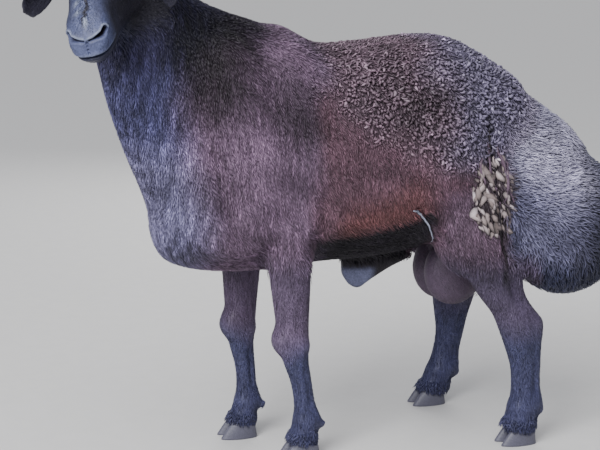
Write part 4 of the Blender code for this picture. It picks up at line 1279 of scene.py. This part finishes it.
def markings(places):
    """The colour of the skin and of the coat at places of the animal."""
    x, y, z = places.T
    local = to_head(places)
    ahead, aside = local[:, 0], np.abs(local[:, 1])
    blotch = 0.014 * ripple(places, 0.09, 21)
    values = dict(x=x, z=z, soft_x=x + blotch, soft_z=z + blotch, fore=x < 0.15)
    values.update(ahead=ahead, aside=aside, soft_ahead=ahead + blotch)
    values.update(
        rust=bump(z + blotch - 0.18 * (x - 0.13), 0.492, 0.040),
        belly=z + 0.3 * blotch - np.interp(x, *zip(*BELLY_EDGE)),
        curls=curl_share(places),
        slope=z + blotch + 0.25 * (x - 0.5),
        cleft=bump(y, 0, 0.040),
        eye_right=bump(eye_gap(local, -1), 0.015, 0.008),
        eye_left=bump(eye_gap(local, 1), 0.015, 0.008),
        **nose_marks(local),
    )

    def tones(*names):
        colour = np.zeros((len(places), 3))
        for name in names:
            colour = layered(colour, LAYERS[name], values)
        return colour

    colour = tones("body")
    for name, share_of in (("rump", wave_share), ("neck", neck_share), ("legs", leg_share)):
        colour = mixed(colour, tones(name), share_of(places))
    level = np.ones(len(places))
    # Patches of the coat's own tone, painted shade and painted sheen
    for patch_x, patch_z, long_half, high_half, strength in TONE_SHADE_AND_SHEEN_PATCHES:
        away = ((x - patch_x) / long_half) ** 2 + ((z + blotch - patch_z) / high_half) ** 2
        level *= strength ** np.exp(-(away**1.3))
    # Painted shade: the coat darkened along the crease in front of the rump's lobes
    gap, _ = path_gap(places[:, (0, 2)], along_line(CREASES[0][0]))
    level *= 1 - 0.8 * bump(gap, 0, 0.0065) * (np.abs(y) > 0.08)
    colour = mixed(colour * level[:, None], MAT_SHADE_TONE, 0.85 * mat_share(places))
    colour = mixed(colour, tones("face", "nose", "cheeks"), head_share(places))
    colour = mixed(colour, EAR_HAIR_TONE, ear_share(places))
    colour = mixed(colour, tones("bare"), bare_share(places))
    depth = 1 + 0.07 * ripple(places, 0.045, 22) + 0.06 * ripple(places, 0.016, 23)
    return np.clip(colour * depth[:, None], 0.003, 1)


def nose_marks(local):
    """The parting, pale patches, lips, nostrils and painted lip and nostril highlights, as shares.
    """
    names = ("pale", "parting", "lips", "lip_highlight", "rim_highlights", "nostrils")
    marks = {name: np.zeros(len(local)) for name in names}
    near = (local[:, 0] > 0.12) & (np.abs(local[:, 1]) < 0.07) & (local[:, 2] > -0.16)
    here = local[near]
    ahead, left = here[:, 0], here[:, 1]
    top = ramp(here[:, 2], -0.060, -0.045)
    patchy = ramp(ripple(here, 0.011, 26), -0.6, 0.6)
    patch = bump(left, -0.013, 0.008) * ramp(ahead, 0.150, 0.180) * ramp(ahead, 0.270, 0.258)
    beside = bump(left, 0.0012, 0.0036) * bump(ahead, 0.2775, 0.0085)
    marks["pale"][near] = top * np.maximum(0.55 * patch * patchy, 0.95 * beside)
    gap, _ = path_gap(here[:, :2], along_line(PARTING, 90))
    thin = np.interp(ahead, *PARTING_HALF)
    marks["parting"][near] = top * ramp(gap, thin * 1.5, thin * 0.7) * ramp(ahead, 0.140, 0.165)
    above, turn = mouth_height(here)
    muzzle = ramp(ahead, 0.205, 0.230) * ramp(turn, 1.50, 1.10)
    marks["lips"][near] = ramp(above, 0.0005, -0.0030) * muzzle
    # Painted highlight along the edge of the upper lip
    marks["lip_highlight"][near] = bump(above, 0.0045, 0.0022) * muzzle
    for side in SIDES:
        gap, wide, _, over, facing = nostril_gap(here, side)
        # Painted highlight on the upper edge of each nostril
        rim = bump(gap, wide + 0.0030, 0.0018) * over * facing
        marks["rim_highlights"][near] = np.maximum(marks["rim_highlights"][near], rim)
        hole = ramp(gap, wide * 1.2, wide * 0.7) * facing
        marks["nostrils"][near] = np.maximum(marks["nostrils"][near], hole)
    return marks


def lie_of(places, normals):
    """The way the hair lies at places of the animal."""
    x, y, z = places.T
    across = np.abs(normals[:, 1])
    lie = np.stack([0.85 - 0.55 * across, 0 * x, -0.20 - 0.75 * across], axis=1)
    lie = mixed(lie, (1, 0, 0), ramp(normals[:, 2], -0.3, -0.8))
    lie = mixed(lie, (0.18, 0, -1), neck_share(places))
    fan = ramp(z + 0.35 * (x - 0.42), 0.36, 0.58)
    rump = np.stack([0.10 + 0.95 * fan, 0.10 * np.sign(y), -1 + 0.80 * fan], axis=1)
    lie = mixed(lie, rump, wave_share(places))
    lie = mixed(lie, (0.08, 0, -1), leg_share(places))
    local = to_head(places)
    face = np.stack([
        1.3 * ramp(local[:, 2], -0.11, -0.03) - 0.35,
        0.35 * np.sign(local[:, 1]),
        -0.6 * ramp(local[:, 2], -0.01, -0.06),
    ], axis=1)
    face = mixed(face, (-1.0, 0, 0.1), ramp(local[:, 0], 0.03, -0.02))
    lie = mixed(lie, face @ np.array(head_matrix().to_3x3()).T, head_share(places))
    for side in SIDES:
        marks, _ = ear_axes(side)
        line = np.array([bezier(marks, t) for t in np.linspace(0, 1, 12)])
        nearest = ((places[:, None] - line[None]) ** 2).sum(2).argmin(1)
        ahead = unit(np.gradient(line, axis=0))[nearest]
        lie = mixed(lie, ahead, ear_share(places) * (side * local[:, 1] > 0))
    lie = mixed(lie, np.array(TAIL_TIP) - np.array(TAIL_ROOT), tail_share(places))
    return unit(lie - normals * dot(lie, normals))


class Coat:
    """What every tuft needs of the skin: its faces, a search tree and a map."""

    def __init__(self, skin):
        mesh = skin.data
        mesh.calc_loop_triangles()
        self.corners = pull(mesh.loop_triangles, "vertices", 3)
        self.places = read(mesh)
        self.normals = read(mesh, "normal")
        self.tree = BVHTree.FromPolygons(self.places.tolist(), self.corners.tolist())
        a, b, c = (self.places[self.corners[:, i]] for i in range(3))
        self.middles = self.places[self.corners].mean(1)
        self.areas = np.linalg.norm(np.cross(b - a, c - a), axis=1) / 2
        self.map_of(skin)

    def map_of(self, skin):
        """An unwrap of a coarse copy of the skin."""
        coarse = link(bpy.data.objects.new("coarse", skin.data.copy()))
        modified(coarse, "DECIMATE", ratio=MAP_TRIANGLES / len(self.corners))
        bpy.context.view_layer.objects.active = coarse
        coarse.select_set(True)
        bpy.ops.object.mode_set(mode="EDIT")
        bpy.ops.mesh.select_all(action="SELECT")
        bpy.ops.uv.smart_project(angle_limit=math.radians(66), island_margin=0.004)
        bpy.ops.object.mode_set(mode="OBJECT")
        mesh = coarse.data
        mesh.calc_loop_triangles()
        flat = pull(mesh.uv_layers.active.data, "uv", 2, np.float32)
        points = pull(mesh.loop_triangles, "vertices", 3)
        self.flat = flat[pull(mesh.loop_triangles, "loops", 3)]
        self.coarse = read(mesh)[points]
        self.coarse_tree = BVHTree.FromPolygons(read(mesh).tolist(), points.tolist())
        bpy.data.objects.remove(coarse)

    def flat_places(self, roots):
        """Where roots fall on the unwrap."""
        faces = np.array([self.coarse_tree.find_nearest(root)[2] for root in roots.tolist()])
        a, b, c = (self.coarse[faces, i] for i in range(3))
        u, v, w = b - a, c - a, roots - a
        uu, uv, vv, uw, vw = (dot(*two)[:, 0] for two in ((u, u), (u, v), (v, v), (u, w), (v, w)))
        under = np.maximum(uu * vv - uv * uv, 1e-16)
        second = np.clip((vv * uw - uv * vw) / under, 0, 1)
        third = np.clip((uu * vw - uv * uw) / under, 0, 1 - second)
        shares = np.stack([1 - second - third, second, third], axis=1)
        return (self.flat[faces] * shares[:, :, None]).sum(1)

    def scatter(self, share, spacing, rng):
        """Roots where a mask lets them grow, one at most in each small cell."""
        chance = self.areas * share(self.middles)
        count = int(chance.sum() / spacing**2 * 2.6)
        faces = rng.choice(len(chance), count, p=chance / chance.sum())
        one, two = rng.random((2, count, 1))
        turned = one + two > 1
        one, two = np.where(turned, 1 - one, one), np.where(turned, 1 - two, two)
        shares = np.stack([1 - one - two, one, two], axis=1)
        roots = (self.places[self.corners[faces]] * shares).sum(1)
        normals = unit((self.normals[self.corners[faces]] * shares).sum(1))
        cells = np.floor(roots / spacing + rng.random(3)).astype(np.int64)
        _, first = np.unique(cells @ np.array((1, 4001, 16008001)), return_index=True)
        return roots[first], normals[first]

    def hug(self, roots, normals, heading, length, stations):
        """Paths from the roots that follow the skin, with its normals."""
        bases, ups = [roots], [normals]
        here, up = roots, normals
        for _ in range(stations - 1):
            ahead = unit(heading - up * dot(heading, up))
            here = here + ahead * (length / (stations - 1))[:, None]
            hits = [self.tree.find_nearest(point) for point in here.tolist()]
            here = np.array([hit[0] for hit in hits])
            up = unit(up + np.array([hit[1] for hit in hits]))
            bases.append(here)
            ups.append(up)
        return np.stack(bases, axis=1), np.stack(ups, axis=1)


def grow(coat, name, paths, ups, half, flatness, tint, shade):
    """Closed tufts of three sides along paths, all in one mesh."""
    count, stations = paths.shape[:2]
    along = unit(np.gradient(paths, axis=1))
    side = unit(np.cross(along, ups))
    up = (np.cross(side, along) * (half * flatness)[:, :, None])[:, :-1]
    side = (side * half[:, :, None])[:, :-1]
    ring = np.stack([side - up * 0.4, -side - up * 0.4, up], axis=2)
    rings = paths[:, :-1, None] + ring
    points = np.concatenate([rings.reshape(count, -1, 3), paths[:, -1:]], axis=1)
    faces = [[2, 1, 0]]
    for first in range(0, 3 * (stations - 2), 3):
        for i in range(3):
            j = (i + 1) % 3
            faces.append([first + i, first + j, first + 3 + j, first + 3 + i])
    last, tip = 3 * (stations - 2), 3 * (stations - 1)
    faces += [[last, last + 1, tip], [last + 1, last + 2, tip], [last + 2, last, tip]]
    share = np.append(np.repeat(np.arange(stations - 1), 3), stations - 1) / (stations - 1)
    across = np.append(np.tile([0.0, 1.0, 0.5], stations - 1), 0.5)
    level = np.interp(share, np.linspace(0, 1, len(shade)), shade)
    tint = tint[:, None] * level[None, :, None]
    return batch(coat, name, points, faces, tint, share, across)


def batch(coat, name, points, faces, tint, share, across):
    """Many copies of one pattern of faces in one mesh, with colours and a map."""
    count, size = points.shape[:2]
    pattern = np.concatenate(faces)
    loops = (pattern[None] + size * np.arange(count)[:, None]).ravel()
    totals = np.tile([len(face) for face in faces], count)
    starts = np.concatenate([[0], np.cumsum(totals)[:-1]])
    mesh = bpy.data.meshes.new(name)
    mesh.vertices.add(count * size)
    mesh.vertices.foreach_set("co", points.astype(np.float32).ravel())
    mesh.loops.add(len(loops))
    mesh.loops.foreach_set("vertex_index", loops.astype(np.int32))
    mesh.polygons.add(len(totals))
    mesh.polygons.foreach_set("loop_start", starts.astype(np.int32))
    mesh.update(calc_edges=True)
    mesh.shade_smooth()
    paint(mesh, np.clip(tint, 0, 1))
    centres = coat.flat_places(points[:, :3].mean(1))
    patch = (np.stack([share, across], axis=1) - 0.5) * BAKE_PATCH
    flat = (centres[:, None] + patch[None, pattern]).astype(np.float32)
    mesh.uv_layers.new(name="OFBake").data.foreach_set("uv", np.clip(flat, 0, 1).ravel())
    return link(bpy.data.objects.new(name, mesh))


def profile(stations, marks):
    """A row of values, one for each station, that follows the marks."""
    return np.interp(np.linspace(0, 1, stations), np.linspace(0, 1, len(marks)), marks)[None]


def turned(vectors, axes, angles):
    """Vectors turned about axes that they stand square to."""
    return vectors * np.cos(angles)[:, None] + np.cross(axes, vectors) * np.sin(angles)[:, None]


def hair(
    coat, name, share, spacing, seed, length, half, height, stray=0.25, stations=3, wave=0.0,
    shade=(0.5, 1.0, 1.25), straight=False, streak=0.15, fit=None,
):
    """Tufts or locks that lie along the body."""
    rng = np.random.default_rng(seed)
    roots, normals = coat.scatter(share, spacing, rng)
    count = len(roots)
    angles = stray * rng.normal(size=count) + stray * ripple(roots, 0.05, seed)
    heading = turned(lie_of(roots, normals), normals, angles)
    lengths = length * rng.uniform(0.7, 1.25, count)
    if fit:
        lengths *= fit(roots)
    steps = np.linspace(0, 1, stations)[None]
    if straight:
        bases = roots[:, None] + heading[:, None] * (steps * lengths[:, None])[:, :, None]
        ups = np.repeat(normals[:, None], stations, axis=1)
    else:
        bases, ups = coat.hug(roots, normals, heading, lengths, stations)
    rise = profile(stations, (-0.12, 0.55, 0.85, 0.95)) * height
    rise = rise * rng.uniform(0.7, 1.25, (count, 1))
    paths = bases + ups * rise[:, :, None]
    if wave:
        sway = ripple(roots, 0.03, seed + 1) * 2 + rng.normal(size=count) * 0.6
        phase = steps * (lengths / WAVE_LENGTH)[:, None] * 2 * math.pi + sway[:, None]
        side = np.cross(ups, unit(np.gradient(bases, axis=1)))
        fade = np.linspace(0.3, 1, stations)[None, :, None]
        paths += side * (np.sin(phase) * wave)[:, :, None] * fade
        paths += ups * (np.cos(phase) * wave * 0.5)[:, :, None] * fade
    halves = half * rng.uniform(0.75, 1.25, (count, 1)) * profile(stations, (0.8, 1.0, 0.9, 0.25))
    level = np.exp(streak * ripple(roots * (1, 1, 0.17), 0.0085, seed + 2))
    tint = markings(roots) * level[:, None] * rng.uniform(0.82, 1.18, (count, 1))
    return grow(coat, name, paths, ups, halves, 0.55, tint, shade)


def curls(coat, name, share, spacing, seed, radius, half, height, shade):
    """Short broad locks that curl over, smaller where they thin out."""
    rng = np.random.default_rng(seed)
    roots, normals = coat.scatter(share, spacing, rng)
    count, stations = len(roots), 7
    angles = rng.normal(size=count) * 0.55 + 0.6 * ripple(roots, 0.06, seed)
    heading = turned(lie_of(roots, normals), normals, angles)
    side = np.cross(normals, heading) * rng.choice([-1, 1], count)[:, None]
    ringed = rng.random(count) < 0.14
    grown = 0.60 + 0.40 * share(roots)
    sweep = np.where(ringed, rng.uniform(3.8, 5.4, count), rng.uniform(0.5, 1.9, count))[:, None]
    size = (radius * grown * np.where(ringed, 0.62, rng.uniform(0.8, 1.6, count)))[:, None]
    t = np.linspace(0, 1, stations)[None]
    shrink = size * (1 - 0.35 * t * ringed[:, None])
    forward, sideways = shrink * np.sin(t * sweep), size - shrink * np.cos(t * sweep)
    clump = ripple(roots, 0.026, seed + 3)
    rise = height * profile(stations, (-0.20, 0.60, 0.95, 0.95, 0.60))
    rise = rise * rng.uniform(0.6, 1.1, (count, 1)) * (grown * (1 + 0.22 * clump))[:, None]
    paths = roots[:, None] + heading[:, None] * forward[:, :, None]
    paths = paths + side[:, None] * sideways[:, :, None] + normals[:, None] * rise[:, :, None]
    ups = np.repeat(normals[:, None], stations, axis=1)
    width = (half * grown * np.where(ringed, 0.7, rng.uniform(0.75, 1.35, count)))[:, None]
    halves = width * profile(stations, (0.6, 1.0, 1.05, 0.8, 0.25))
    # Curls lower in a clump are darker: painted shade between the clumps, besides random tone
    tint = markings(roots) * np.exp(0.22 * rng.normal(size=(count, 1)) + 0.20 * clump[:, None])
    tint = np.where(rng.random((count, 1)) < 0.05, tint * 1.9 + 0.05, tint)
    return grow(coat, name, paths, ups, halves, 0.42, tint, shade)


def flakes(coat, name, share, spacing, seed, half):
    """Flat felted leaves of matted wool, with uneven outlines, dark painted shade at the edges and
    underneath.
    """
    rng = np.random.default_rng(seed)
    roots, normals = coat.scatter(share, spacing, rng)
    count, sides = len(roots), 10
    heading = turned(lie_of(roots, normals), normals, 0.38 * rng.normal(size=count))
    tilt = unit(normals + 0.20 * rng.normal(size=(count, 3)))
    heading = unit(heading - tilt * dot(heading, tilt))
    side = np.cross(tilt, heading)
    long_half = half * np.exp(0.34 * rng.normal(size=(count, 1, 1)))
    wide_half = long_half * rng.uniform(0.42, 0.72, (count, 1, 1))
    angles = np.linspace(0, 2 * math.pi, sides, endpoint=False)
    phase = rng.uniform(0, 6.28, (3, count, 1))
    outline = 1.0
    for (high, lobes), shift in zip(((0.10, 2), (0.12, 3), (0.07, 5)), phase):
        outline = outline + high * np.cos(lobes * angles + shift)
    outline = outline * (1 + 0.45 * np.maximum(np.cos(angles), 0) ** 6)
    outline = np.stack([np.cos(angles) * outline, np.sin(angles) * outline], axis=2)
    middle = np.zeros((count, 1, 2))
    flat = np.concatenate([middle, *[outline * wide for wide, _ in FLAKE_RINGS], middle], axis=1)
    rings = len(FLAKE_RINGS)
    high = np.concatenate([[-1.1], np.repeat([up for _, up in FLAKE_RINGS], sides), [0.92]])
    points = roots[:, None] + tilt[:, None] * 0.0035 + heading[:, None] * flat[:, :, :1] * long_half
    points = points + side[:, None] * flat[:, :, 1:] * wide_half
    points = points + tilt[:, None] * high[None, :, None] * 0.0030
    last = sides * rings + 1
    faces = []
    for i in range(sides):
        j = (i + 1) % sides
        faces.append([0, 1 + j, 1 + i])
        for low in range(1, 1 + (rings - 1) * sides, sides):
            faces.append([low + i, low + j, low + sides + j, low + sides + i])
        faces.append([last, last - sides + i, last - sides + j])
    tint = np.array(MAT_TONE) * np.exp(rng.normal(size=(count, 1)) * (0.30, 0.33, 0.36))
    # Painted shade under each flake and at its edges, and a painted highlight on its top
    tint = tint[:, None] * np.interp(high, *FLAKE_SHADE)[None, :, None]
    across = np.linspace(0, 1, last + 1)
    return batch(coat, name, points, faces, tint, (high + 1.1) / 2.1, across)


def draped(coat, side, line, count):
    """A line of x and z laid on one side of the skin, with its normals."""
    marks = along_line(line, count)
    way = Vector((0, -side, 0))
    hits = [coat.tree.ray_cast(Vector((x, side * 0.5, z)), way) for x, z in marks]
    return np.array([hit[0] for hit in hits]), np.array([hit[1] for hit in hits])


def cords(coat, name, side, seed):
    """Felted cords in the crease of the thigh, and the pale edge of the flank fold."""
    rng = np.random.default_rng(seed)
    stations = 18
    steps = np.linspace(0, 1, stations)
    made = []
    for x, z, end, length, sway, phase, half, pale in CORDS:
        line = (x + (end - x) * steps + sway * np.sin(7 * steps + phase), z - length * steps)
        path, up = draped(coat, side, np.stack(line, axis=1), stations)
        path = path + up * (0.0052 + 0.0014 * np.sin(15 * steps + phase))[:, None]
        taper = np.interp(steps, (0, 0.12, 0.85, 1), (0.3, 1, 0.8, 0.2))
        half = half * (1 + 0.25 * np.sin(19 * steps + 2 * phase)) * taper
        made.append((path, up, half, np.array(THIGH_TONE) * pale * rng.uniform(0.85, 1.15)))
    path, up = draped(coat, side, FOLD, stations)
    half = FOLD_HALF * np.interp(steps, (0, 0.2, 0.6, 1), (0.4, 1, 0.8, 0.3))
    made.append((path + up * 0.0042, up, half, FOLD_TONE))
    paths, ups, halves, tints = (np.array(values) for values in zip(*made))
    return grow(coat, name, paths, ups, halves, 0.9, tints, (0.6, 1.0, 1.0, 0.7))


def body_hair(p):
    """Where the short hair of the body grows, thinner under the curls and the mat."""
    masks = (wave_share, neck_share, leg_share, head_share, ear_share, bare_share)
    other = np.maximum.reduce([mask(p) for mask in masks])
    return np.clip(1 - other, 0, 1) * (1 - 0.55 * curl_share(p)) * (1 - 0.5 * mat_share(p))


def neck_hair(p):
    return neck_share(p) * (1 - head_share(p)) * (1 - leg_share(p)) * (1 - ear_share(p))


def face_hair(p):
    """Where the head is haired: thin on the muzzle, and none on the lips and nostrils."""
    local = to_head(p)
    bare = ramp(local[:, 0], 0.275, 0.300) * ramp(np.abs(local[:, 1]), 0.030, 0.018)
    above, _ = mouth_height(local)
    lips = ramp(np.abs(above), 0.008, 0.003) * (local[:, 0] > 0.21)
    for side in SIDES:
        gap, _, _, _, facing = nostril_gap(local, side)
        lips = np.maximum(lips, ramp(gap, 0.011, 0.007) * facing)
    return head_share(p) * (1 - ear_share(p)) * (1 - 0.95 * bare) * (1 - lips)


def shorter(p):
    """How much of its length the hair keeps towards the muzzle."""
    return 1 - 0.55 * ramp(to_head(p)[:, 0], 0.17, 0.24)


def curled_hair(p):
    return curl_share(p) * (1 - mat_share(p)) * (0.35 + 0.65 * ramp(p[:, 2], 0.83, 0.77))


def whorl_hair(p):
    ahead, aside, _ = to_head(p).T
    return head_share(p) * inside((np.abs(aside), ahead, ahead), WHORL_BOX)


def coronet_hair(p):
    return leg_share(p) * inside((p[:, 2], p[:, 2]), CORONET_BOX)


def legs_front(p):
    return leg_share(p) * (p[:, 0] < 0.15)


def legs_hind(p):
    return leg_share(p) * (p[:, 0] >= 0.15)


def on_left(mask):
    return lambda p: mask(p) * (p[:, 1] < 0)


def on_right(mask):
    return lambda p: mask(p) * (p[:, 1] >= 0)


# The coat's pieces: name, slot, kind, where it grows, spacing and sizes. The first part
# comes in a left and a right, and so does the last.
PAIRED_FIRST = [
    ("coat_neck", "neck_hair", hair, neck_hair, 0.0039, DARK),
    ("coat_flank", "body_fleece", hair, body_hair, 0.0046, SHORT),
    ("coat_rump", "rump_fleece", hair, wave_share, 0.0052, WAVY),
]
SINGLE = [
    ("coat_legs_front", "leg_hair", hair, legs_front, 0.0033, LEG),
    ("coat_legs_hind", "leg_hair", hair, legs_hind, 0.0034, LEG),
    ("coat_coronets", "leg_hair", hair, coronet_hair, 0.0030, FRINGE),
    ("coat_head", "face_hair", hair, face_hair, 0.0026, dict(FACE, fit=shorter)),
    ("coat_ears", "ear_hair", hair, ear_share, 0.0027, EAR),
    ("coat_bare", "bare_skin", hair, bare_share, 0.0038, BARE),
    ("coat_whorl", "face_hair", hair, whorl_hair, 0.0030, ROUGH),
]
PAIRED_LAST = [
    ("coat_mat", "rump_fleece", flakes, mat_share, 0.0122, dict(half=0.0090)),
    ("coat_curls", "body_fleece", curls, curled_hair, 0.0073, CURLY),
]


def paired(pieces):
    """A left and a right piece for each row."""
    out = []
    for name, slot, kind, mask, *sizes in pieces:
        out.append((name + "_left", slot, kind, on_left(mask), *sizes))
        out.append((name + "_right", slot, kind, on_right(mask), *sizes))
    return out


def build_coat(skin):
    """Every tuft, curl and lock, as pieces with their slots."""
    coat = Coat(skin)
    made = []
    pieces = paired(PAIRED_FIRST) + SINGLE + paired(PAIRED_LAST)
    for seed, (name, slot, kind, mask, spacing, sizes) in enumerate(pieces, FIRST_SEED):
        made.append((kind(coat, name, mask, spacing, seed, **sizes), slot))
    for name, side in (("coat_cords_left", -1), ("coat_cords_right", 1)):
        made.append((cords(coat, name, side, CORD_SEED + side), "rump_fleece"))
    return made


def fill(made, **inputs):
    """Sets a node's sockets by their names, with _ for each blank."""
    for name, value in inputs.items():
        made.inputs[name.replace("_", " ")].default_value = value
    return made


def node(tree, kind, **inputs):
    return fill(tree.nodes.new("ShaderNode" + kind), **inputs)


def blank_material(name):
    made = bpy.data.materials.new(name)
    made.use_nodes = True
    return made, made.node_tree, made.node_tree.nodes["Principled BSDF"]


def attribute(tree, name):
    made = node(tree, "Attribute")
    made.attribute_name = name
    return made


def material(name, roughness, specular, bump_size, bump_depth, mottle, tint=None):
    """A procedural finish: a tint, mottled by noise, with bump and uneven gloss."""
    made, tree, shader = blank_material(name)
    connect = tree.links.new
    fill(shader, Specular_IOR_Level=specular)
    place = node(tree, "TexCoord")
    fine = node(tree, "TexNoise", Scale=1 / bump_size, Detail=3.0, Roughness=0.6)
    connect(place.outputs["Object"], fine.inputs["Vector"])
    spread = node(tree, "MapRange", From_Min=0.3, From_Max=0.7)
    fill(spread, To_Min=1 - mottle, To_Max=1 + mottle)
    connect(fine.outputs["Fac"], spread.inputs["Value"])
    scale = node(tree, "VectorMath")
    scale.operation = "SCALE"
    if tint:
        scale.inputs[0].default_value = tint
    else:
        connect(attribute(tree, "tint").outputs["Color"], scale.inputs[0])
    connect(spread.outputs["Result"], scale.inputs["Scale"])
    connect(scale.outputs["Vector"], shader.inputs["Base Color"])
    gloss = node(tree, "MapRange", To_Min=roughness - 0.12, To_Max=roughness + 0.12)
    connect(fine.outputs["Fac"], gloss.inputs["Value"])
    connect(gloss.outputs["Result"], shader.inputs["Roughness"])
    relief = node(tree, "Bump", Strength=0.6, Distance=bump_depth)
    connect(fine.outputs["Fac"], relief.inputs["Height"])
    connect(relief.outputs["Normal"], shader.inputs["Normal"])
    return made


def build_eye(side):
    """A glossy eyeball with a bulging cornea."""
    name = "eyeball_left" if side > 0 else "eyeball_right"
    eye = ball(name, (EYE_RADIUS,) * 3, Matrix.Identity(4), *EYE_FACETS)
    mesh = eye.data
    local = read(mesh)
    reach = np.hypot(local[:, 0], local[:, 1])
    bulge = CORNEA_BULGE * ramp(reach, 0.0115, 0.0060) * (local[:, 2] > 0)
    local += unit(local) * bulge[:, None]
    layer = mesh.attributes.new("gaze", "FLOAT_VECTOR", "POINT")
    layer.data.foreach_set("vector", local.astype(np.float32).ravel())
    write(mesh, local)
    mesh.transform(eye_frame(side))
    mesh.shade_smooth()
    return eye


def math_node(tree, kind, *values):
    made = node(tree, "Math")
    made.operation = kind
    for socket, value in zip(made.inputs, values):
        give(tree, socket, value)
    return made.outputs[0]


def give(tree, socket, value):
    """Gives a socket a value, or a link from another node's output."""
    if isinstance(value, bpy.types.NodeSocket):
        tree.links.new(value, socket)
    else:
        socket.default_value = value


def mix_node(tree, share, below, above):
    made = node(tree, "Mix")
    made.data_type = "RGBA"
    for name, value in (("Factor", share), ("A", below), ("B", above)):
        give(tree, made.inputs[name], value)
    return made.outputs["Result"]


def oval_step(tree, parts, long_half, high_half, soft):
    """0 inside a level oval on the eye, and 1 outside it."""
    powers = []
    for name, half in (("X", long_half), ("Y", high_half)):
        share = math_node(tree, "DIVIDE", parts.outputs[name], half)
        powers.append(math_node(tree, "POWER", math_node(tree, "ABSOLUTE", share), 2.6))
    step = node(tree, "MapRange", From_Min=1 - soft, From_Max=1 + soft)
    give(tree, step.inputs["Value"], math_node(tree, "ADD", *powers))
    return step.outputs["Result"]


def eye_material():
    """Amber iris with a level slot for a pupil, and a dark rim round it."""
    made, tree, shader = blank_material("eye_gloss")
    fill(shader, Roughness=0.12, Specular_IOR_Level=0.25, Coat_Weight=0.25, Coat_Roughness=0.03)
    gaze = attribute(tree, "gaze").outputs["Vector"]
    parts = node(tree, "SeparateXYZ")
    give(tree, parts.inputs[0], gaze)
    streak = node(tree, "TexNoise", Scale=900.0, Detail=4.0)
    give(tree, streak.inputs["Vector"], gaze)
    iris = mix_node(tree, streak.outputs["Fac"], IRIS_DARK, IRIS_PALE)
    rim = mix_node(tree, oval_step(tree, parts, *IRIS_OVAL), iris, EYE_RIM)
    pupil = mix_node(tree, oval_step(tree, parts, *PUPIL_OVAL), PUPIL, rim)
    give(tree, shader.inputs["Base Color"], pupil)
    return made


def build_claw(name, across):
    """A horn claw with growth rings, worn at the sole."""
    centre = foot_centre(name)
    middle_y = centre.y + across * (CLAW_WIDTH + CLAW_SPLIT) / 2
    front, back = centre.x - CLAW_LENGTH / 2, centre.x + CLAW_LENGTH / 2
    rings = []
    for step in range(CLAW_STEPS + 1):
        level = step / CLAW_STEPS
        toe = front + TOE_BEVEL * level
        heel = back - 0.004 * level
        ribbed = 0 < step < CLAW_STEPS - 1
        groove = 1 - 0.014 * (0.5 + 0.5 * math.cos(step * 2.1)) * ribbed - 0.03 * (step == 0)
        ring = []
        for angle in turns():
            along, out = -math.cos(angle), math.sin(angle)
            full, less = (0.94, 0.04) if out * across < 0 else (1.0, 0.08)
            wide = CLAW_WIDTH / 2 * (full - less * level)
            taper = 1.0 - 0.35 * max(0.0, -along) ** 2
            x = (toe + heel) / 2 + along * (heel - toe) / 2 * groove
            y = middle_y + bent(out, 0.75) * wide * taper * groove
            ring.append((x, y, coronet_height(x, front) * level))
        rings.append(ring)
    claw = loft(f"horn_{name}_{'outer' if across == leg_side(name) else 'inner'}", rings)
    claw.data.shade_smooth()
    return claw


def stage():
    """A plain pale floor and soft studio light."""
    bm = bmesh.new()
    bmesh.ops.create_grid(bm, x_segments=1, y_segments=1, size=FLOOR_SIZE / 2)
    floor = add_mesh("floor", bm)
    floor.data.materials.append(material("floor_paint", *FLOOR_FINISH))
    world = bpy.data.worlds.new("studio")
    world.use_nodes = True
    fill(world.node_tree.nodes["Background"], Color=(0.86, 0.90, 1.0, 1), Strength=0.42)
    bpy.context.scene.world = world


def add_lamp(name, kind, place, way, **settings):
    """A lamp at a place that shines one way."""
    data = bpy.data.lights.new(name, kind)
    for key, value in settings.items():
        setattr(data, key, value)
    lamp = link(bpy.data.objects.new(name, data))
    lamp.location = place
    lamp.rotation_euler = Vector(way).to_track_quat("-Z", "Y").to_euler()


def add_camera(shift):
    data = bpy.data.cameras.new("camera")
    data.lens = CAMERA_LENS
    data.sensor_width = SENSOR
    camera = link(bpy.data.objects.new("camera", data))
    camera.location = Vector(CAMERA_PLACE) + shift
    camera.rotation_euler = (math.radians(90 - CAMERA_DOWN), 0, math.radians(-CAMERA_TURN))
    bpy.context.scene.camera = camera


def main():
    shift = shift_to_part()
    skin = build_skin()
    places = read(skin.data)
    # Painted shade: the skin under the coat darker, most under the curls, the mat and the lobes'
    # waves
    under = 0.85 - 0.30 * curl_share(places) - 0.15 * wave_share(places)
    under = under - 0.30 * mat_share(places)
    paint(skin.data, markings(places) * under[:, None])
    skin.data.materials.append(material("skin", *SKIN_FINISH))
    pieces = build_coat(skin) + [(skin, "bare_skin")]
    fur, sleek = material("hair", *FUR_FINISH), material("sleek_hair", *SLEEK_FINISH)
    for piece, slot in pieces[:-1]:
        piece.data.materials.append(sleek if slot in SLEEK_SLOTS else fur)
    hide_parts(*FLESH_NODES, *LEAN)
    gloss = eye_material()
    for side in SIDES:
        eye = build_eye(side)
        eye.data.materials.append(gloss)
        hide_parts("eye_left" if side > 0 else "eye_right")
        pieces.append((eye, "eye"))
    horn = material("horn_keratin", *HORN_FINISH)
    for name in LEAN:
        for across in SIDES:
            claw = build_claw(name, across)
            claw.data.materials.append(horn)
            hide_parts(claw.name.replace("horn", "hoof"))
            pieces.append((claw, "hoof_horn"))
    for piece, slot in pieces:
        piece.data.transform(Matrix.Translation(shift))
        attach(piece, "root")
    stage()
    target = Vector(LIGHT_TARGET) + shift
    for name, place, size, power, colour in AREA_LIGHTS:
        way = target - Vector(place)
        add_lamp(name, "AREA", place, way, size=size, energy=power, color=colour)
    add_lamp("sky", "SUN", (0, 0, 0), SKY_WAY, energy=SKY_STRENGTH, angle=math.radians(SKY_SPREAD))
    add_camera(shift)


main()
